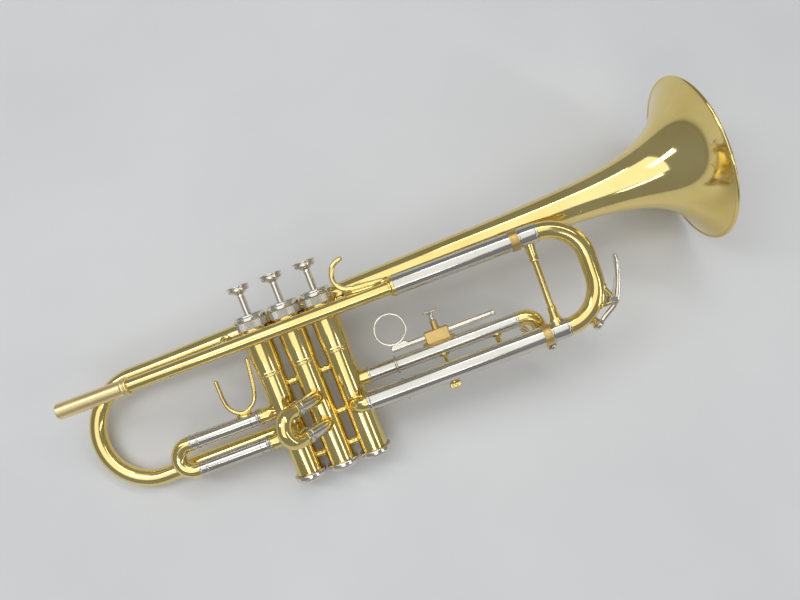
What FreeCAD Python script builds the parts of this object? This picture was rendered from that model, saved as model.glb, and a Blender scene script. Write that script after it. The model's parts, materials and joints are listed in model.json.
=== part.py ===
import FreeCAD, Part
import math
import os
import Sketcher
from FreeCAD import Placement, Rotation, Vector

# Piston-valve trumpet, lying on its left side.
#
# Every piece is placed in the playing frame first: X runs from the mouthpiece receiver to the bell,
# Y to the player's left, Z up along the valve stems, with its origin at the centre of the receiver's mouth.
# LAY then turns that frame to the lying pose of the finished part.

SIZES = [
    ("lay_roll", -70.4, "turn about X from the playing pose to lying on the left side"),
    ("lay_pitch", -5.04, "lift of the bell end over its rim"),
    ("lay_x", -242.066, "shift of the lying part along X"),
    ("lay_y", 15.736, "shift of the lying part along Y"),
    ("lay_z", 34.641, "shift of the lying part along Z"),
    ("solder", 0.03, "gap left in a soldered or screwed seat"),
    ("main_y", -17.0, "plane of the leadpipe and the main tuning slide"),
    ("low_z", -69.0, "height of the lower main tube"),
    ("rec_len", 52.4, "receiver length"),
    ("rec_rad", 5.85, "receiver outer radius"),
    ("rec_bore", 4.8, "receiver bore radius"),
    ("rec_bore_len", 24.0, "straight length of the receiver bore"),
    ("rec_bead", 6.4, "radius of the receiver's two beads"),
    ("lead_start", 44.05, "leadpipe start inside the receiver"),
    ("lead_len", 201.1, "leadpipe length"),
    ("lead_rad_a", 4.7, "leadpipe outer radius at the receiver"),
    ("lead_rad_b", 5.05, "leadpipe outer radius at the tuning slide"),
    ("lead_wall", 0.5, "leadpipe wall"),
    ("ferr_x", 243.2, "start of the leadpipe ferrule"),
    ("ferr_len", 4.2, "leadpipe ferrule length"),
    ("ferr_rad", 7.2, "leadpipe ferrule radius"),
    ("main_rad", 6.75, "main outer slide tube radius"),
    ("main_wall", 0.6, "main outer slide tube wall"),
    ("main_fit", 0.08, "radial clearance of the main slide legs"),
    ("main_end", 336.4, "end of the main outer slide tubes"),
    ("up_start", 245.3, "start of the upper outer slide tube"),
    ("low_start", 202.05, "start of the lower outer slide tube"),
    ("band_len", 5.9, "end band length"),
    ("band_rad", 7.3, "end band radius"),
    ("knee_rad", 6.1, "radius of the lower elbow tube"),
    ("knee_bend", 8.0, "bend radius of the lower elbow"),
    ("bow_wall", 0.55, "wall of the bows and elbows"),
    ("tune_ferr_x", 338.0, "start of the tuning slide ferrules"),
    ("tune_ferr_len", 12.4, "tuning slide ferrule length"),
    ("tune_ferr_rad", 6.85, "tuning slide ferrule radius"),
    ("tune_leg_x", 258.0, "inner end of the tuning slide legs"),
    ("tune_leg_end", 349.2, "outer end of the tuning slide legs"),
    ("tune_leg_wall", 0.5, "wall of the tuning slide legs"),
    ("tune_bow_x", 349.3, "start of the tuning slide bow"),
    ("tune_bow_rad", 6.25, "tuning slide bow tube radius"),
    ("tune_bow_bend", 27.5, "bend radius of the tuning slide bow"),
    ("tune_brace_x", 343.0, "tuning slide brace position"),
    ("tune_brace_rad", 2.4, "tuning slide brace radius"),
    ("valve_x", 143.1, "first valve position"),
    ("valve_pitch", 24.95, "distance between valves"),
    ("case_bottom", -107.5, "lower end of the casings"),
    ("case_rad", 9.75, "casing outer radius"),
    ("case_top_rad", 10.4, "casing outer radius above the ledge"),
    ("case_bore", 8.65, "casing bore radius"),
    ("case_top_bore", 9.35, "casing bore radius above the ledge"),
    ("cap_rad", 11.85, "top cap radius"),
    ("cap_hole", 3.1, "stem hole radius in the top cap"),
    ("foot_rad", 11.9, "bottom cap radius"),
    ("foot_hole", 1.5, "vent hole radius in the bottom cap"),
    ("piston_rad", 8.59, "piston radius"),
    ("piston_len", 61.0, "length of the ported part of the piston"),
    ("piston_z", -89.0, "lower end of the piston"),
    ("barrel_rad", 8.3, "spring barrel radius"),
    ("barrel_len", 41.0, "spring barrel length"),
    ("barrel_wall", 0.7, "spring barrel wall"),
    ("port_rad", 4.4, "piston passage radius"),
    ("stem_rad", 2.7, "valve stem radius"),
    ("stem_z", 13.03, "lower end of the valve stem"),
    ("stem_len", 18.74, "valve stem length"),
    ("button_z", 31.8, "underside of the finger button"),
    ("button_rad", 8.4, "finger button radius"),
    ("spring_rad", 5.9, "valve spring radius"),
    ("spring_wire", 0.45, "valve spring wire radius"),
    ("spring_z", -24.4, "lower end of the valve spring"),
    ("spring_len", 34.2, "length of the valve spring"),
    ("guide_z", -26.47, "underside of the valve guide"),
    ("guide_len", 18.4, "valve guide length"),
    ("guide_wide", 3.0, "valve guide width"),
    ("guide_thick", 1.5, "valve guide thickness"),
    ("slot_wide", 3.3, "barrel slot width"),
    ("slot_len", 20.0, "barrel slot length"),
    ("small_rad", 5.4, "outer radius of the valve slide tubes"),
    ("small_wall", 0.5, "wall of the valve slide tubes"),
    ("small_fit", 0.08, "radial clearance of the valve slides"),
    ("small_bend", 10.0, "bend radius of the valve slide bows"),
    ("slide_up_z", -54.7, "height of the upper valve slide tubes"),
    ("one_y", -5.5, "plane of the first slide"),
    ("one_bow_x", 69.9, "bend centre of the first slide"),
    ("one_tube_x", 72.4, "start of the first slide outer tubes"),
    ("one_tube_len", 46.2, "length of the first slide outer tubes"),
    ("one_leg_x", 84.0, "end of the first slide inner tubes"),
    ("one_stop_x", 119.0, "start of the first slide stop sleeves"),
    ("one_stop_len", 7.4, "length of the first slide stop sleeves"),
    ("two_turn", 40.0, "turn of the second slide elbows"),
    ("two_bend", 8.0, "bend radius of the second slide elbows"),
    ("two_tube_len", 15.6, "length of the second slide outer tubes"),
    ("two_leg_len", 16.5, "length of the second slide legs"),
    ("three_sleeve_x", 207.5, "start of the third slide sleeves"),
    ("three_sleeve_len", 22.2, "length of the third slide sleeves"),
    ("three_tube_x", 230.1, "start of the third slide outer tubes"),
    ("three_tube_len", 91.0, "length of the third slide outer tubes"),
    ("three_leg_end", 301.0, "end of the third slide inner tubes"),
    ("three_bow_x", 323.5, "bend centre of the third slide"),
    ("block_x", 254.5, "start of the rod holder block"),
    ("block_len", 17.5, "rod holder block length"),
    ("block_wide", 8.0, "rod holder block width"),
    ("block_low", -48.9, "underside of the rod holder block"),
    ("block_high", -40.3, "top of the rod holder block"),
    ("rod_x", 229.2, "start of the ring rod"),
    ("rod_len", 77.6, "ring rod length"),
    ("rod_rad", 2.2, "ring rod radius"),
    ("rod_z", -43.75, "height of the ring rod"),
    ("ring_x", 233.1, "finger ring centre"),
    ("ring_z", -29.2, "height of the finger ring centre"),
    ("ring_rad", 11.9, "finger ring outer radius"),
    ("ring_thick", 1.5, "finger ring thickness"),
    ("ring_wide", 4.0, "finger ring width"),
    ("bell_x", 62.0, "start of the bell's flare piece"),
    ("bell_y", 19.5, "plane of the bell"),
    ("bell_z", 3.95, "height of the bell's axis at its start"),
    ("bell_rise", 0.6, "rise of the bell's axis in degrees"),
    ("bell_len", 419.0, "length of the flare piece"),
    ("bell_wall", 0.5, "bell wall"),
    ("bell_rim", 61.5, "bell rim radius"),
    ("rim_wire", 1.3, "radius of the rolled rim"),
    ("tail_rad_a", 6.2, "bell bow tube radius"),
    ("tail_rad_b", 5.75, "bell tail radius at the first valve"),
    ("tail_bend", 38.7, "bend radius of the bell bow"),
    ("tail_lean", 8.9, "lean of the bell bow's plane in degrees"),
    ("tail_len", 96.0, "length of the bell tail before trimming"),
    ("tail_lead", 20.1, "straight length before the bell bow"),
    ("hook_rad", 1.9, "little-finger hook rod radius"),
    ("hook_bend", 11.0, "little-finger hook bend radius"),
    ("saddle_rad", 1.4, "thumb hook rod radius"),
    ("key_axis_x", 383.6, "water key pivot position along X"),
    ("key_axis_z", -61.6, "water key pivot height"),
    ("key_angle", -59.5, "angle of the water key nipple round the bow"),
    ("key_seat", 36.7, "distance of the nipple's mouth from the bow's bend centre"),
    ("nipple_rad", 3.6, "water key nipple radius"),
    ("nipple_bore", 2.0, "water key nipple bore radius"),
    ("cup_rad", 4.3, "water key cup radius"),
    ("lever_rad", 1.5, "water key lever rod radius"),
    ("screw_rad", 1.1, "water key screw shank radius"),
    ("three_key_angle", -50.0, "angle of the third slide's water key round its bow"),
    ("three_key_seat", 20.5, "distance of that nipple's mouth from the bow's bend centre"),
    ("three_key_bore", 1.6, "bore radius of the third slide's nipple"),
    ("three_key_reach", 18.5, "distance of the third key's pivot from the bend centre"),
    ("three_key_side", 8.2, "distance of the third key's pivot from the bow's plane"),
    ("three_pin_rad", 0.9, "pivot pin radius of the third key"),
    ("three_arm_rad", 1.25, "lever rod radius of the third key"),
    ("three_cup_rad", 3.6, "cup radius of the third key"),
]

doc = FreeCAD.newDocument("trumpet")
sheet = doc.addObject("Spreadsheet::Sheet", "sizes")
for row, (alias, value, note) in enumerate(SIZES, start=1):
    sheet.set("A%d" % row, alias)
    sheet.set("B%d" % row, repr(value))
    sheet.set("C%d" % row, note)
    sheet.setAlias("B%d" % row, alias)
doc.recompute()

NODES = []


class Dim:
    """A sheet value together with the expression that gives it."""

    def __init__(self, value, text):
        self.value = float(value)
        self.text = text

    def join(self, other, sign, swap=False):
        other = dim(other)
        first, second = (other, self) if swap else (self, other)
        results = {
            "+": lambda a, b: a + b,
            "-": lambda a, b: a - b,
            "*": lambda a, b: a * b,
        }
        value = results[sign](first.value, second.value)
        return Dim(value, "(%s %s %s)" % (first.text, sign, second.text))

    def __add__(self, other):
        return self.join(other, "+")

    def __radd__(self, other):
        return self.join(other, "+", swap=True)

    def __sub__(self, other):
        return self.join(other, "-")

    def __rsub__(self, other):
        return self.join(other, "-", swap=True)

    def __mul__(self, other):
        return self.join(other, "*")

    def __rmul__(self, other):
        return self.join(other, "*", swap=True)

    def __float__(self):
        return self.value


def dim(x):
    return x if isinstance(x, Dim) else Dim(x, "%.6f" % x)


class Sizes:
    """Attribute access to the sheet: S.case_rad is the cell called case_rad."""

    def __getattr__(self, alias):
        return Dim(sheet.get(alias), "sizes." + alias)


S = Sizes()


def val(x):
    return float(x)


def bind(obj, prop, x):
    """Sets a length and ties it to its cells."""
    setattr(obj, prop, val(x))
    if isinstance(x, Dim):
        obj.setExpression(prop, x.text)


def vec(x, y, z):
    return Vector(val(x), val(y), val(z))


def at(x, y, z, turn=None):
    return Placement(vec(x, y, z), turn or Rotation())


def tilt(axis, degrees):
    return Placement(Vector(), Rotation(axis, val(degrees)))


AX = Vector(1, 0, 0)
AY = Vector(0, 1, 0)
AZ = Vector(0, 0, 1)
TO_UP = Rotation(AX, AZ)
TO_DOWN = Rotation(AX, AZ * -1)

LAY = at(S.lay_x, S.lay_y, S.lay_z) * tilt(AY, S.lay_pitch) * tilt(AX, S.lay_roll)


def node(obj, name):
    """Makes an object a finished piece: labelled, and laid down with the whole part."""
    obj.Label = name
    obj.Placement = LAY * obj.Placement
    NODES.append(obj)
    return obj


def turned(name, profile, place=None):
    """A body of revolution about local X. The profile is a closed ring of (x, radius) corners."""
    body = doc.addObject("PartDesign::Body", name)
    plane = next(f for f in body.Origin.OriginFeatures if f.Role == "XZ_Plane")
    sketch = body.newObject("Sketcher::SketchObject", name + "_profile")
    sketch.AttachmentSupport = [(plane, "")]
    sketch.MapMode = "FlatFace"
    count = len(profile)
    corners = [vec(x, rad, 0) for x, rad in profile]
    lines = [Part.LineSegment(corners[i], corners[(i + 1) % count]) for i in range(count)]
    sketch.addGeometry(lines, False)
    for i in range(count):
        sketch.addConstraint(Sketcher.Constraint("Coincident", i, 2, (i + 1) % count, 1))
    for i, corner in enumerate(profile):
        for kind, side, x in (("DistanceX", -2, corner[0]), ("DistanceY", -1, corner[1])):
            if abs(val(x)) < 1e-9:
                sketch.addConstraint(Sketcher.Constraint("PointOnObject", i, 1, side))
                continue
            index = sketch.addConstraint(Sketcher.Constraint(kind, -1, 1, i, 1, val(x)))
            if isinstance(x, Dim):
                sketch.setExpression("Constraints[%d]" % index, x.text)
    turn = body.newObject("PartDesign::Revolution", name + "_turn")
    turn.Profile = sketch
    turn.ReferenceAxis = (sketch, ["H_Axis"])
    turn.Angle = 360.0
    sketch.Visibility = False
    body.Tip = turn
    body.Placement = place or Placement()
    return body


def ring(name, x0, x1, r_in, r_out, place=None):
    """A plain turned tube from x0 to x1."""
    return turned(name, [(x0, r_in), (x0, r_out), (x1, r_out), (x1, r_in)], place)


def cylinder(name, rad, height, place=None):
    obj = doc.addObject("Part::Cylinder", name)
    bind(obj, "Radius", rad)
    bind(obj, "Height", height)
    obj.Placement = place or Placement()
    return obj


def box(name, size, corner):
    obj = doc.addObject("Part::Box", name)
    for prop, x in zip(("Length", "Width", "Height"), size):
        bind(obj, prop, x)
    obj.Placement = at(*corner)
    return obj


def ball(name, rad, point):
    obj = doc.addObject("Part::Sphere", name)
    bind(obj, "Radius", rad)
    obj.Placement = Placement(point, Rotation())
    return obj


def rod(name, rad, a, b):
    """A round rod between two points."""
    run = b.sub(a)
    return cylinder(name, rad, run.Length, Placement(a, Rotation(AZ, run)))


def plate(name, points, thick, y):
    """A flat plate with a polygon outline in the XZ plane, thickness along Y and centred on y."""
    outline = doc.addObject("Part::Polygon", name + "_outline")
    outline.Nodes = [Vector(x, val(y) - val(thick) / 2, z) for x, z in points]
    outline.Close = True
    solid = doc.addObject("Part::Extrusion", name)
    solid.Base = outline
    solid.DirMode = "Custom"
    solid.Dir = AY
    solid.LengthFwd = val(thick)
    solid.Solid = True
    return solid


def fuse(name, shapes):
    if len(shapes) == 1:
        return shapes[0]
    obj = doc.addObject("Part::MultiFuse", name)
    obj.Shapes = shapes
    return obj


def cut(name, base, tools):
    obj = doc.addObject("Part::Cut", name)
    obj.Base = base
    obj.Tool = fuse(name + "_tools", tools)
    return obj


def group(name, shapes):
    obj = doc.addObject("Part::Compound", name)
    obj.Links = shapes
    return obj


def sweep_along(name, segments, rad, start=Vector(), heading=AX):
    """Cylinders, cones and part tori along a path, by default from the origin along +X."""
    solids = []
    point, way = Vector(start), Vector(heading)
    for k, segment in enumerate(segments):
        label = "%s_%d" % (name, k)
        if segment[0] == "line":
            solids.append(cylinder(label, rad, segment[1], Placement(point, Rotation(AZ, way))))
            point = point + way * val(segment[1])
        elif segment[0] == "cone":
            cone = doc.addObject("Part::Cone", label)
            bind(cone, "Radius1", rad)
            bind(cone, "Radius2", segment[2] + (rad - segment[3]))
            bind(cone, "Height", segment[1])
            cone.Placement = Placement(point, Rotation(AZ, way))
            solids.append(cone)
            point = point + way * val(segment[1])
        else:
            bend, angle, side = segment[1], segment[2], segment[3]
            torus = doc.addObject("Part::Torus", label)
            bind(torus, "Radius1", bend)
            bind(torus, "Radius2", rad)
            torus.Angle3 = val(angle)
            centre = point + side * val(bend)
            normal = (side * -1).cross(way)
            torus.Placement = Placement(centre, Rotation(side * -1, way, normal, "ZXY"))
            solids.append(torus)
            a = math.radians(val(angle))
            point = centre - side * (val(bend) * math.cos(a)) + way * (val(bend) * math.sin(a))
            way = way * math.cos(a) + side * math.sin(a)
    whole = fuse(name + "_run", solids)
    return whole, point, way


def tube_run(name, segments, rad, wall, place=None, trims=(), extras=()):
    """A bent tube: the outer sweep less the inner sweep and less what it is trimmed by."""
    outer, end, way = sweep_along(name + "_out", segments, rad)
    over = 0.5
    core = [("line", segments[0][1] + over)] + list(segments[1:])
    if core[-1][0] == "line":
        core[-1] = ("line", segments[-1][1] + over)
    inner, end, way = sweep_along(name + "_in", core, rad - wall)
    inner.Placement = at(-over, 0, 0)
    body = fuse(name + "_skin", [outer] + list(extras))
    tube = cut(name, body, [inner] + list(trims))
    tube.Placement = place or Placement()
    return tube


def tube_links(name, segments, rad, wall):
    """A bent tube whose lengths are each made hollow before they are joined."""
    point, way = Vector(), Vector(AX)
    skins = []
    for k, segment in enumerate(segments):
        tag = "%s_link_%d" % (name, k)
        outer, end, turn = sweep_along(tag + "_out", [segment], rad, point, way)
        inner, end, turn = sweep_along(tag + "_in", [segment], rad - wall, point, way)
        skins.append(cut(tag, outer, [inner]))
        point, way = end, turn
    return fuse(name, skins)


def rod_chain(name, points, rad):
    """Rods through a list of points, with a ball at every corner and end."""
    solids = []
    for k, point in enumerate(points):
        solids.append(ball("%s_ball%d" % (name, k), rad, point))
        if k:
            solids.append(rod("%s_rod%d" % (name, k), rad, points[k - 1], point))
    return solids


# ---------------------------------------------------------------- mouthpipe and main tubes

receiver = turned(
    "mouthpiece_receiver",
    [
        (0, S.rec_bore + 0.3),
        (0, S.rec_rad - 0.35),
        (0.5, S.rec_rad),
        (S.rec_len - 4.8, S.rec_rad),
        (S.rec_len - 4.4, S.rec_bead),
        (S.rec_len - 3.2, S.rec_bead),
        (S.rec_len - 2.8, S.rec_rad),
        (S.rec_len - 2.2, S.rec_rad),
        (S.rec_len - 1.8, S.rec_bead),
        (S.rec_len - 0.6, S.rec_bead),
        (S.rec_len, S.rec_rad - 0.3),
        (S.rec_len, S.lead_rad_a + S.solder),
        (S.lead_start - 0.02, S.lead_rad_a + S.solder),
        (S.lead_start - 0.02, S.lead_rad_a - S.lead_wall),
        (S.rec_bore_len, S.rec_bore),
        (0.3, S.rec_bore),
    ],
    at(0, S.main_y, 0),
)
node(receiver, "mouthpiece_receiver")

leadpipe = turned(
    "leadpipe",
    [
        (0, S.lead_rad_a - S.lead_wall),
        (0, S.lead_rad_a),
        (8.5, S.lead_rad_a),
        (S.lead_len, S.lead_rad_b),
        (S.lead_len, S.lead_rad_b - S.lead_wall),
    ],
    at(S.lead_start, S.main_y, 0),
)
node(leadpipe, "leadpipe")

ferrule = turned(
    "leadpipe_ferrule",
    [
        (0, S.lead_rad_b + S.solder),
        (0, S.ferr_rad - 1.3),
        (0.4, S.ferr_rad - 0.9),
        (1.3, S.ferr_rad - 0.9),
        (1.6, S.ferr_rad - 1.3),
        (1.9, S.ferr_rad - 0.2),
        (2.2, S.ferr_rad),
        (S.ferr_len - 0.3, S.ferr_rad),
        (S.ferr_len, S.ferr_rad - 0.2),
        (S.ferr_len, S.main_rad + S.solder),
        (2.05, S.main_rad + S.solder),
        (2.05, S.lead_rad_b + S.solder),
    ],
    at(S.ferr_x, S.main_y, 0),
)
node(ferrule, "leadpipe_ferrule")

upper_tube = ring(
    "upper_slide_tube", 0, S.main_end - S.up_start, S.main_rad - S.main_wall, S.main_rad,
    at(S.up_start, S.main_y, 0),
)
node(upper_tube, "upper_slide_tube")

low_len = S.main_end - S.low_start
lower_tube = turned(
    "lower_slide_tube",
    [
        (0, S.main_rad - S.main_wall),
        (0, S.main_rad + 0.3),
        (0.3, S.main_rad + 0.6),
        (1.9, S.main_rad + 0.6),
        (2.2, S.main_rad),
        (low_len, S.main_rad),
        (low_len, S.main_rad - S.main_wall),
    ],
    at(S.low_start, S.main_y, S.low_z),
)
node(lower_tube, "lower_slide_tube")

seat = S.main_rad + S.solder
bands = []
for k, z in enumerate((dim(0), S.low_z)):
    bands.append(
        turned(
            "band%d" % k,
            [
                (0, seat),
                (0, S.band_rad - 0.15),
                (0.3, S.band_rad),
                (S.band_len - 0.3, S.band_rad),
                (S.band_len, S.band_rad - 0.2),
                (S.band_len, S.main_rad - S.main_wall + 0.05),
                (S.band_len - 0.45, S.main_rad - S.main_wall + 0.05),
                (S.band_len - 0.45, seat),
            ],
            at(S.main_end - S.band_len + 0.5, S.main_y, z),
        )
    )
node(group("slide_end_bands", bands), "slide_end_bands")


# ---------------------------------------------------------------- valves

VALVES = [S.valve_x + S.valve_pitch * k for k in range(3)]
CASE_TOP = 122.1
LEDGE = 81.0


def casing_bore(name, x):
    return cylinder(name, S.case_bore, 120.0, at(x, 0, S.case_bottom - 1))


def casing_body(k, x):
    return turned(
        "casing_tube_%d" % k,
        [
            (0, S.case_bore),
            (0, S.case_rad),
            (77.9, S.case_rad),
            (78.2, S.case_rad + 0.45),
            (78.9, S.case_rad + 0.45),
            (79.2, S.case_rad + 0.1),
            (79.9, S.case_rad + 0.1),
            (80.2, S.case_rad + 0.45),
            (80.9, S.case_rad + 0.45),
            (81.3, S.case_rad + 0.2),
            (92.0, S.case_top_rad),
            (118.5, S.case_top_rad),
            (118.5, S.case_top_rad - 0.45),
            (CASE_TOP, S.case_top_rad - 0.45),
            (CASE_TOP, S.case_top_bore),
            (LEDGE, S.case_top_bore),
            (LEDGE, S.case_bore),
        ],
        Placement(vec(x, 0, S.case_bottom), TO_UP),
    )


LEG_RAD = S.small_rad - S.small_wall - S.small_fit
LEG_WALL = dim(0.45)
NIPPLE_RAD = S.small_rad - 0.1
SLIDE_Z = [S.slide_up_z, S.slide_up_z - S.small_bend * 2]
BORE = LEG_RAD - LEG_WALL

# first casing: brass nipples for the first slide, on the player's side
one_root = []
one_holes = [casing_bore("case1_bore", VALVES[0])]
for k, z in enumerate(SLIDE_Z):
    start = S.one_stop_x + S.one_stop_len + 0.03
    reach = VALVES[0] - start
    nipple_place = at(start, S.one_y, z, Rotation(AZ, AX))
    one_root.append(cylinder("one_nipple%d" % k, NIPPLE_RAD, reach, nipple_place))
    one_holes.append(
        cylinder("one_hole%d" % k, LEG_RAD + S.solder, reach - 8.9, at(start, S.one_y, z, Rotation(AZ, AX)))
    )
    one_holes.append(cylinder("one_port%d" % k, BORE, reach, at(start, S.one_y, z, Rotation(AZ, AX))))
one_case = fuse("case1_skin", [casing_body(1, VALVES[0])] + one_root)
node(cut("valve_casing_1", one_case, one_holes), "valve_casing_1")

# second casing: two elbows that turn toward the player
two_place = []
two_root = []
two_holes = [casing_bore("case2_bore", VALVES[1])]
for k, z in enumerate(SLIDE_Z):
    place = Placement(vec(VALVES[1], -5.0, z), Rotation(AZ, -90))
    segments = [("line", 5.0), ("bend", S.two_bend, S.two_turn, Vector(0, -1, 0)), ("line", 1.9)]
    outer, end, way = sweep_along("two_elbow%d" % k, segments, S.small_rad)
    inner, end, way = sweep_along("two_hole%d" % k, segments, S.small_rad - S.bow_wall)
    outer.Placement = place
    inner.Placement = place
    two_root.append(outer)
    two_holes.append(inner)
    two_place.append(Placement(place.multVec(end), Rotation(AX, place.Rotation.multVec(way))))
two_case = fuse("case2_skin", [casing_body(2, VALVES[1])] + two_root)
node(cut("valve_casing_2", two_case, two_holes), "valve_casing_2")

# third casing: nipples for the third slide, toward the bell
three_root = []
three_holes = [casing_bore("case3_bore", VALVES[2])]
for k, z in enumerate(SLIDE_Z):
    reach = S.three_sleeve_x - 0.03 - VALVES[2]
    along = Rotation(AZ, AX)
    three_side = at(VALVES[2], 0, z, along)
    three_root.append(cylinder("three_nipple%d" % k, S.small_rad + 0.15, reach, three_side))
    three_holes.append(
        cylinder("three_hole%d" % k, LEG_RAD + S.solder, reach, at(VALVES[2] + 9.0, 0, z, along))
    )
    three_holes.append(cylinder("three_port%d" % k, BORE, reach, at(VALVES[2], 0, z, along)))
three_case = fuse("case3_skin", [casing_body(3, VALVES[2])] + three_root)
node(cut("valve_casing_3", three_case, three_holes), "valve_casing_3")

# elbow from the lower main tube into the side of the third casing
knee_segments = [
    ("line", S.low_start - 0.02 - VALVES[2] - S.knee_bend),
    ("bend", S.knee_bend, 90.0, Vector(0, -1, 0)),
]
knee = tube_run(
    "knee_tube",
    knee_segments + [("line", 1.5)],
    S.knee_rad,
    S.bow_wall,
    Placement(vec(S.low_start - 0.02, S.main_y, S.low_z), Rotation(AZ, 180)),
)
knee_trim = cylinder("knee_trim", S.case_rad + S.solder, 60.0, at(VALVES[2], 0, S.low_z - 30))
node(cut("knee_trimmed", knee, [knee_trim]), "lower_elbow")

top_caps = []
bottom_caps = []
guides = []
for k, x in enumerate(VALVES):
    top_caps.append(
        turned(
            "top_cap%d" % k,
            [
                (0, S.case_top_rad - 0.45 + S.solder),
                (0, S.cap_rad - 0.5),
                (0.5, S.cap_rad),
                (3.8, S.cap_rad),
                (4.2, S.cap_rad - 0.5),
                (4.9, S.cap_rad - 0.8),
                (5.5, S.cap_rad - 1.6),
                (5.5, S.cap_hole),
                (4.3, S.cap_hole),
                (4.3, S.case_top_rad - 0.45 + S.solder),
            ],
            Placement(vec(x, 0, S.case_bottom + 118.55), TO_UP),
        )
    )
    bottom_caps.append(
        turned(
            "bottom_cap%d" % k,
            [
                (0, S.case_rad + S.solder),
                (0, S.foot_rad - 0.6),
                (0.5, S.foot_rad),
                (2.8, S.foot_rad),
                (3.5, S.foot_rad - 0.45),
                (4.6, S.foot_rad - 1.0),
                (5.6, S.foot_rad - 2.2),
                (6.2, S.foot_rad - 3.9),
                (6.4, S.foot_rad - 6.0),
                (6.4, S.foot_hole),
                (3.5, S.foot_hole),
                (3.5, S.case_rad - 0.9),
                (2.7, S.case_rad + S.solder),
            ],
            Placement(vec(x, 0, S.case_bottom + 2.6), TO_DOWN),
        )
    )
    guide = box(
        "guide_bar%d" % k,
        (S.guide_len, S.guide_wide, S.guide_thick),
        (x - S.guide_len * 0.5, S.guide_wide * -0.5, S.guide_z),
    )
    eye = cylinder("guide_eye%d" % k, 0.8, 4.0, at(x, 0, S.guide_z - 1))
    guides.append(cut("guide%d" % k, guide, [eye]))
node(group("top_caps", top_caps), "top_caps")
node(group("bottom_caps", bottom_caps), "bottom_caps")
node(group("valve_guides", guides), "valve_guides")

braces = []
for k, (gap, z) in enumerate(((0, -39.2), (1, -39.4), (1, -71.4), (0, -95.6), (1, -95.6))):
    x = S.valve_x + S.valve_pitch * (gap + 0.5)
    along = Rotation(AZ, AX)
    post = cylinder("brace_post%d" % k, 2.7, 8.0, at(x - 4.0, 0, z, along))
    collar = cylinder("brace_collar%d" % k, 3.3, 1.6, at(x - 0.8, 0, z, along))
    sides = []
    for j in (-0.5, 0.5):
        side_place = at(x + S.valve_pitch * j, 0, z - 10)
        sides.append(cylinder("brace_side%d" % k, S.case_rad + S.solder, 20.0, side_place))
    braces.append(cut("brace%d" % k, fuse("brace_body%d" % k, [post, collar]), sides))
node(group("casing_braces", braces), "casing_braces")

PORTS = ((14.3, 0.0), (34.3, 60.0), (49.0, 120.0))
for k, x in enumerate(VALVES, start=1):
    up = Placement(vec(x, 0, S.piston_z), TO_UP)
    whole = S.piston_len + S.barrel_len
    blank = turned(
        "piston_blank_%d" % k,
        [
            (0, 2.0),
            (0, S.piston_rad - 0.4),
            (0.4, S.piston_rad),
            (S.piston_len, S.piston_rad),
            (S.piston_len, S.barrel_rad),
            (whole, S.barrel_rad),
            (whole, 2.2),
            (whole - 1.5, 2.2),
            (whole - 1.5, S.barrel_rad - S.barrel_wall),
            (S.piston_len + 0.3, S.barrel_rad - S.barrel_wall),
            (S.piston_len + 0.3, 2.0),
        ],
        up,
    )
    cuts = []
    for j, (height, angle) in enumerate(PORTS):
        across = Placement(vec(x, 0, S.piston_z + height), Rotation(AZ, angle)) * Placement(
            Vector(-20, 0, 0), Rotation(AZ, AX)
        )
        cuts.append(cylinder("port%d_%d" % (k, j), S.port_rad, 40.0, across))
    cuts.append(
        box(
            "slot%d" % k,
            (20.0, S.slot_wide, S.slot_len),
            (x - 10.0, S.slot_wide * -0.5, S.piston_z + S.piston_len + 0.35),
        )
    )
    node(cut("piston_%d" % k, blank, cuts), "piston_%d" % k)

    stem = turned(
        "stem_%d" % k,
        [
            (0, 0),
            (0, 5.4),
            (1.9, 5.4),
            (1.9, S.stem_rad),
            (S.stem_len, S.stem_rad),
            (S.stem_len, 0),
        ],
        Placement(vec(x, 0, S.stem_z), TO_UP),
    )
    node(stem, "stem_%d" % k)

    button = turned(
        "button_%d" % k,
        [
            (0, 0),
            (0, S.button_rad - 1.5),
            (1.3, S.button_rad - 1.5),
            (1.6, S.button_rad - 1.9),
            (2.0, S.button_rad - 0.5),
            (2.6, S.button_rad),
            (3.9, S.button_rad),
            (4.6, S.button_rad - 0.6),
            (4.9, S.button_rad - 1.0),
            (5.2, S.button_rad - 0.6),
            (5.6, S.button_rad - 0.4),
            (6.0, S.button_rad - 0.7),
            (6.0, S.button_rad - 1.3),
            (5.6, S.button_rad - 1.6),
            (5.5, 0),
        ],
        Placement(vec(x, 0, S.button_z), TO_UP),
    )
    node(button, "button_%d" % k)

    helix = doc.addObject("Part::Helix", "spring_path_%d" % k)
    bind(helix, "Radius", S.spring_rad)
    bind(helix, "Height", S.spring_len)
    helix.Pitch = val(S.spring_len) / 8.0
    wire = doc.addObject("Part::RegularPolygon", "spring_wire_%d" % k)
    wire.Polygon = 8
    bind(wire, "Circumradius", S.spring_wire)
    wire.Placement = Placement(vec(S.spring_rad, 0, 0), Rotation(AZ, AY))
    coil = doc.addObject("Part::Sweep", "valve_spring_%d" % k)
    coil.Sections = [wire]
    coil.Spine = (helix, ["Edge1"])
    coil.Solid = True
    coil.Frenet = True
    coil.Placement = at(x, 0, S.spring_z)
    node(coil, "valve_spring_%d" % k)


# ---------------------------------------------------------------- bell


BELL_PLACE = at(S.bell_x, S.bell_y, S.bell_z) * tilt(AY, S.bell_rise * -1)


def horn(x):
    """Outer radius of the bell, x mm behind its rim: a slow taper plus a flare near the rim."""
    return 13.6 - 0.0176 * x + 46.6 * (102.0 / (x + 102.0)) ** 4.7


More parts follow.
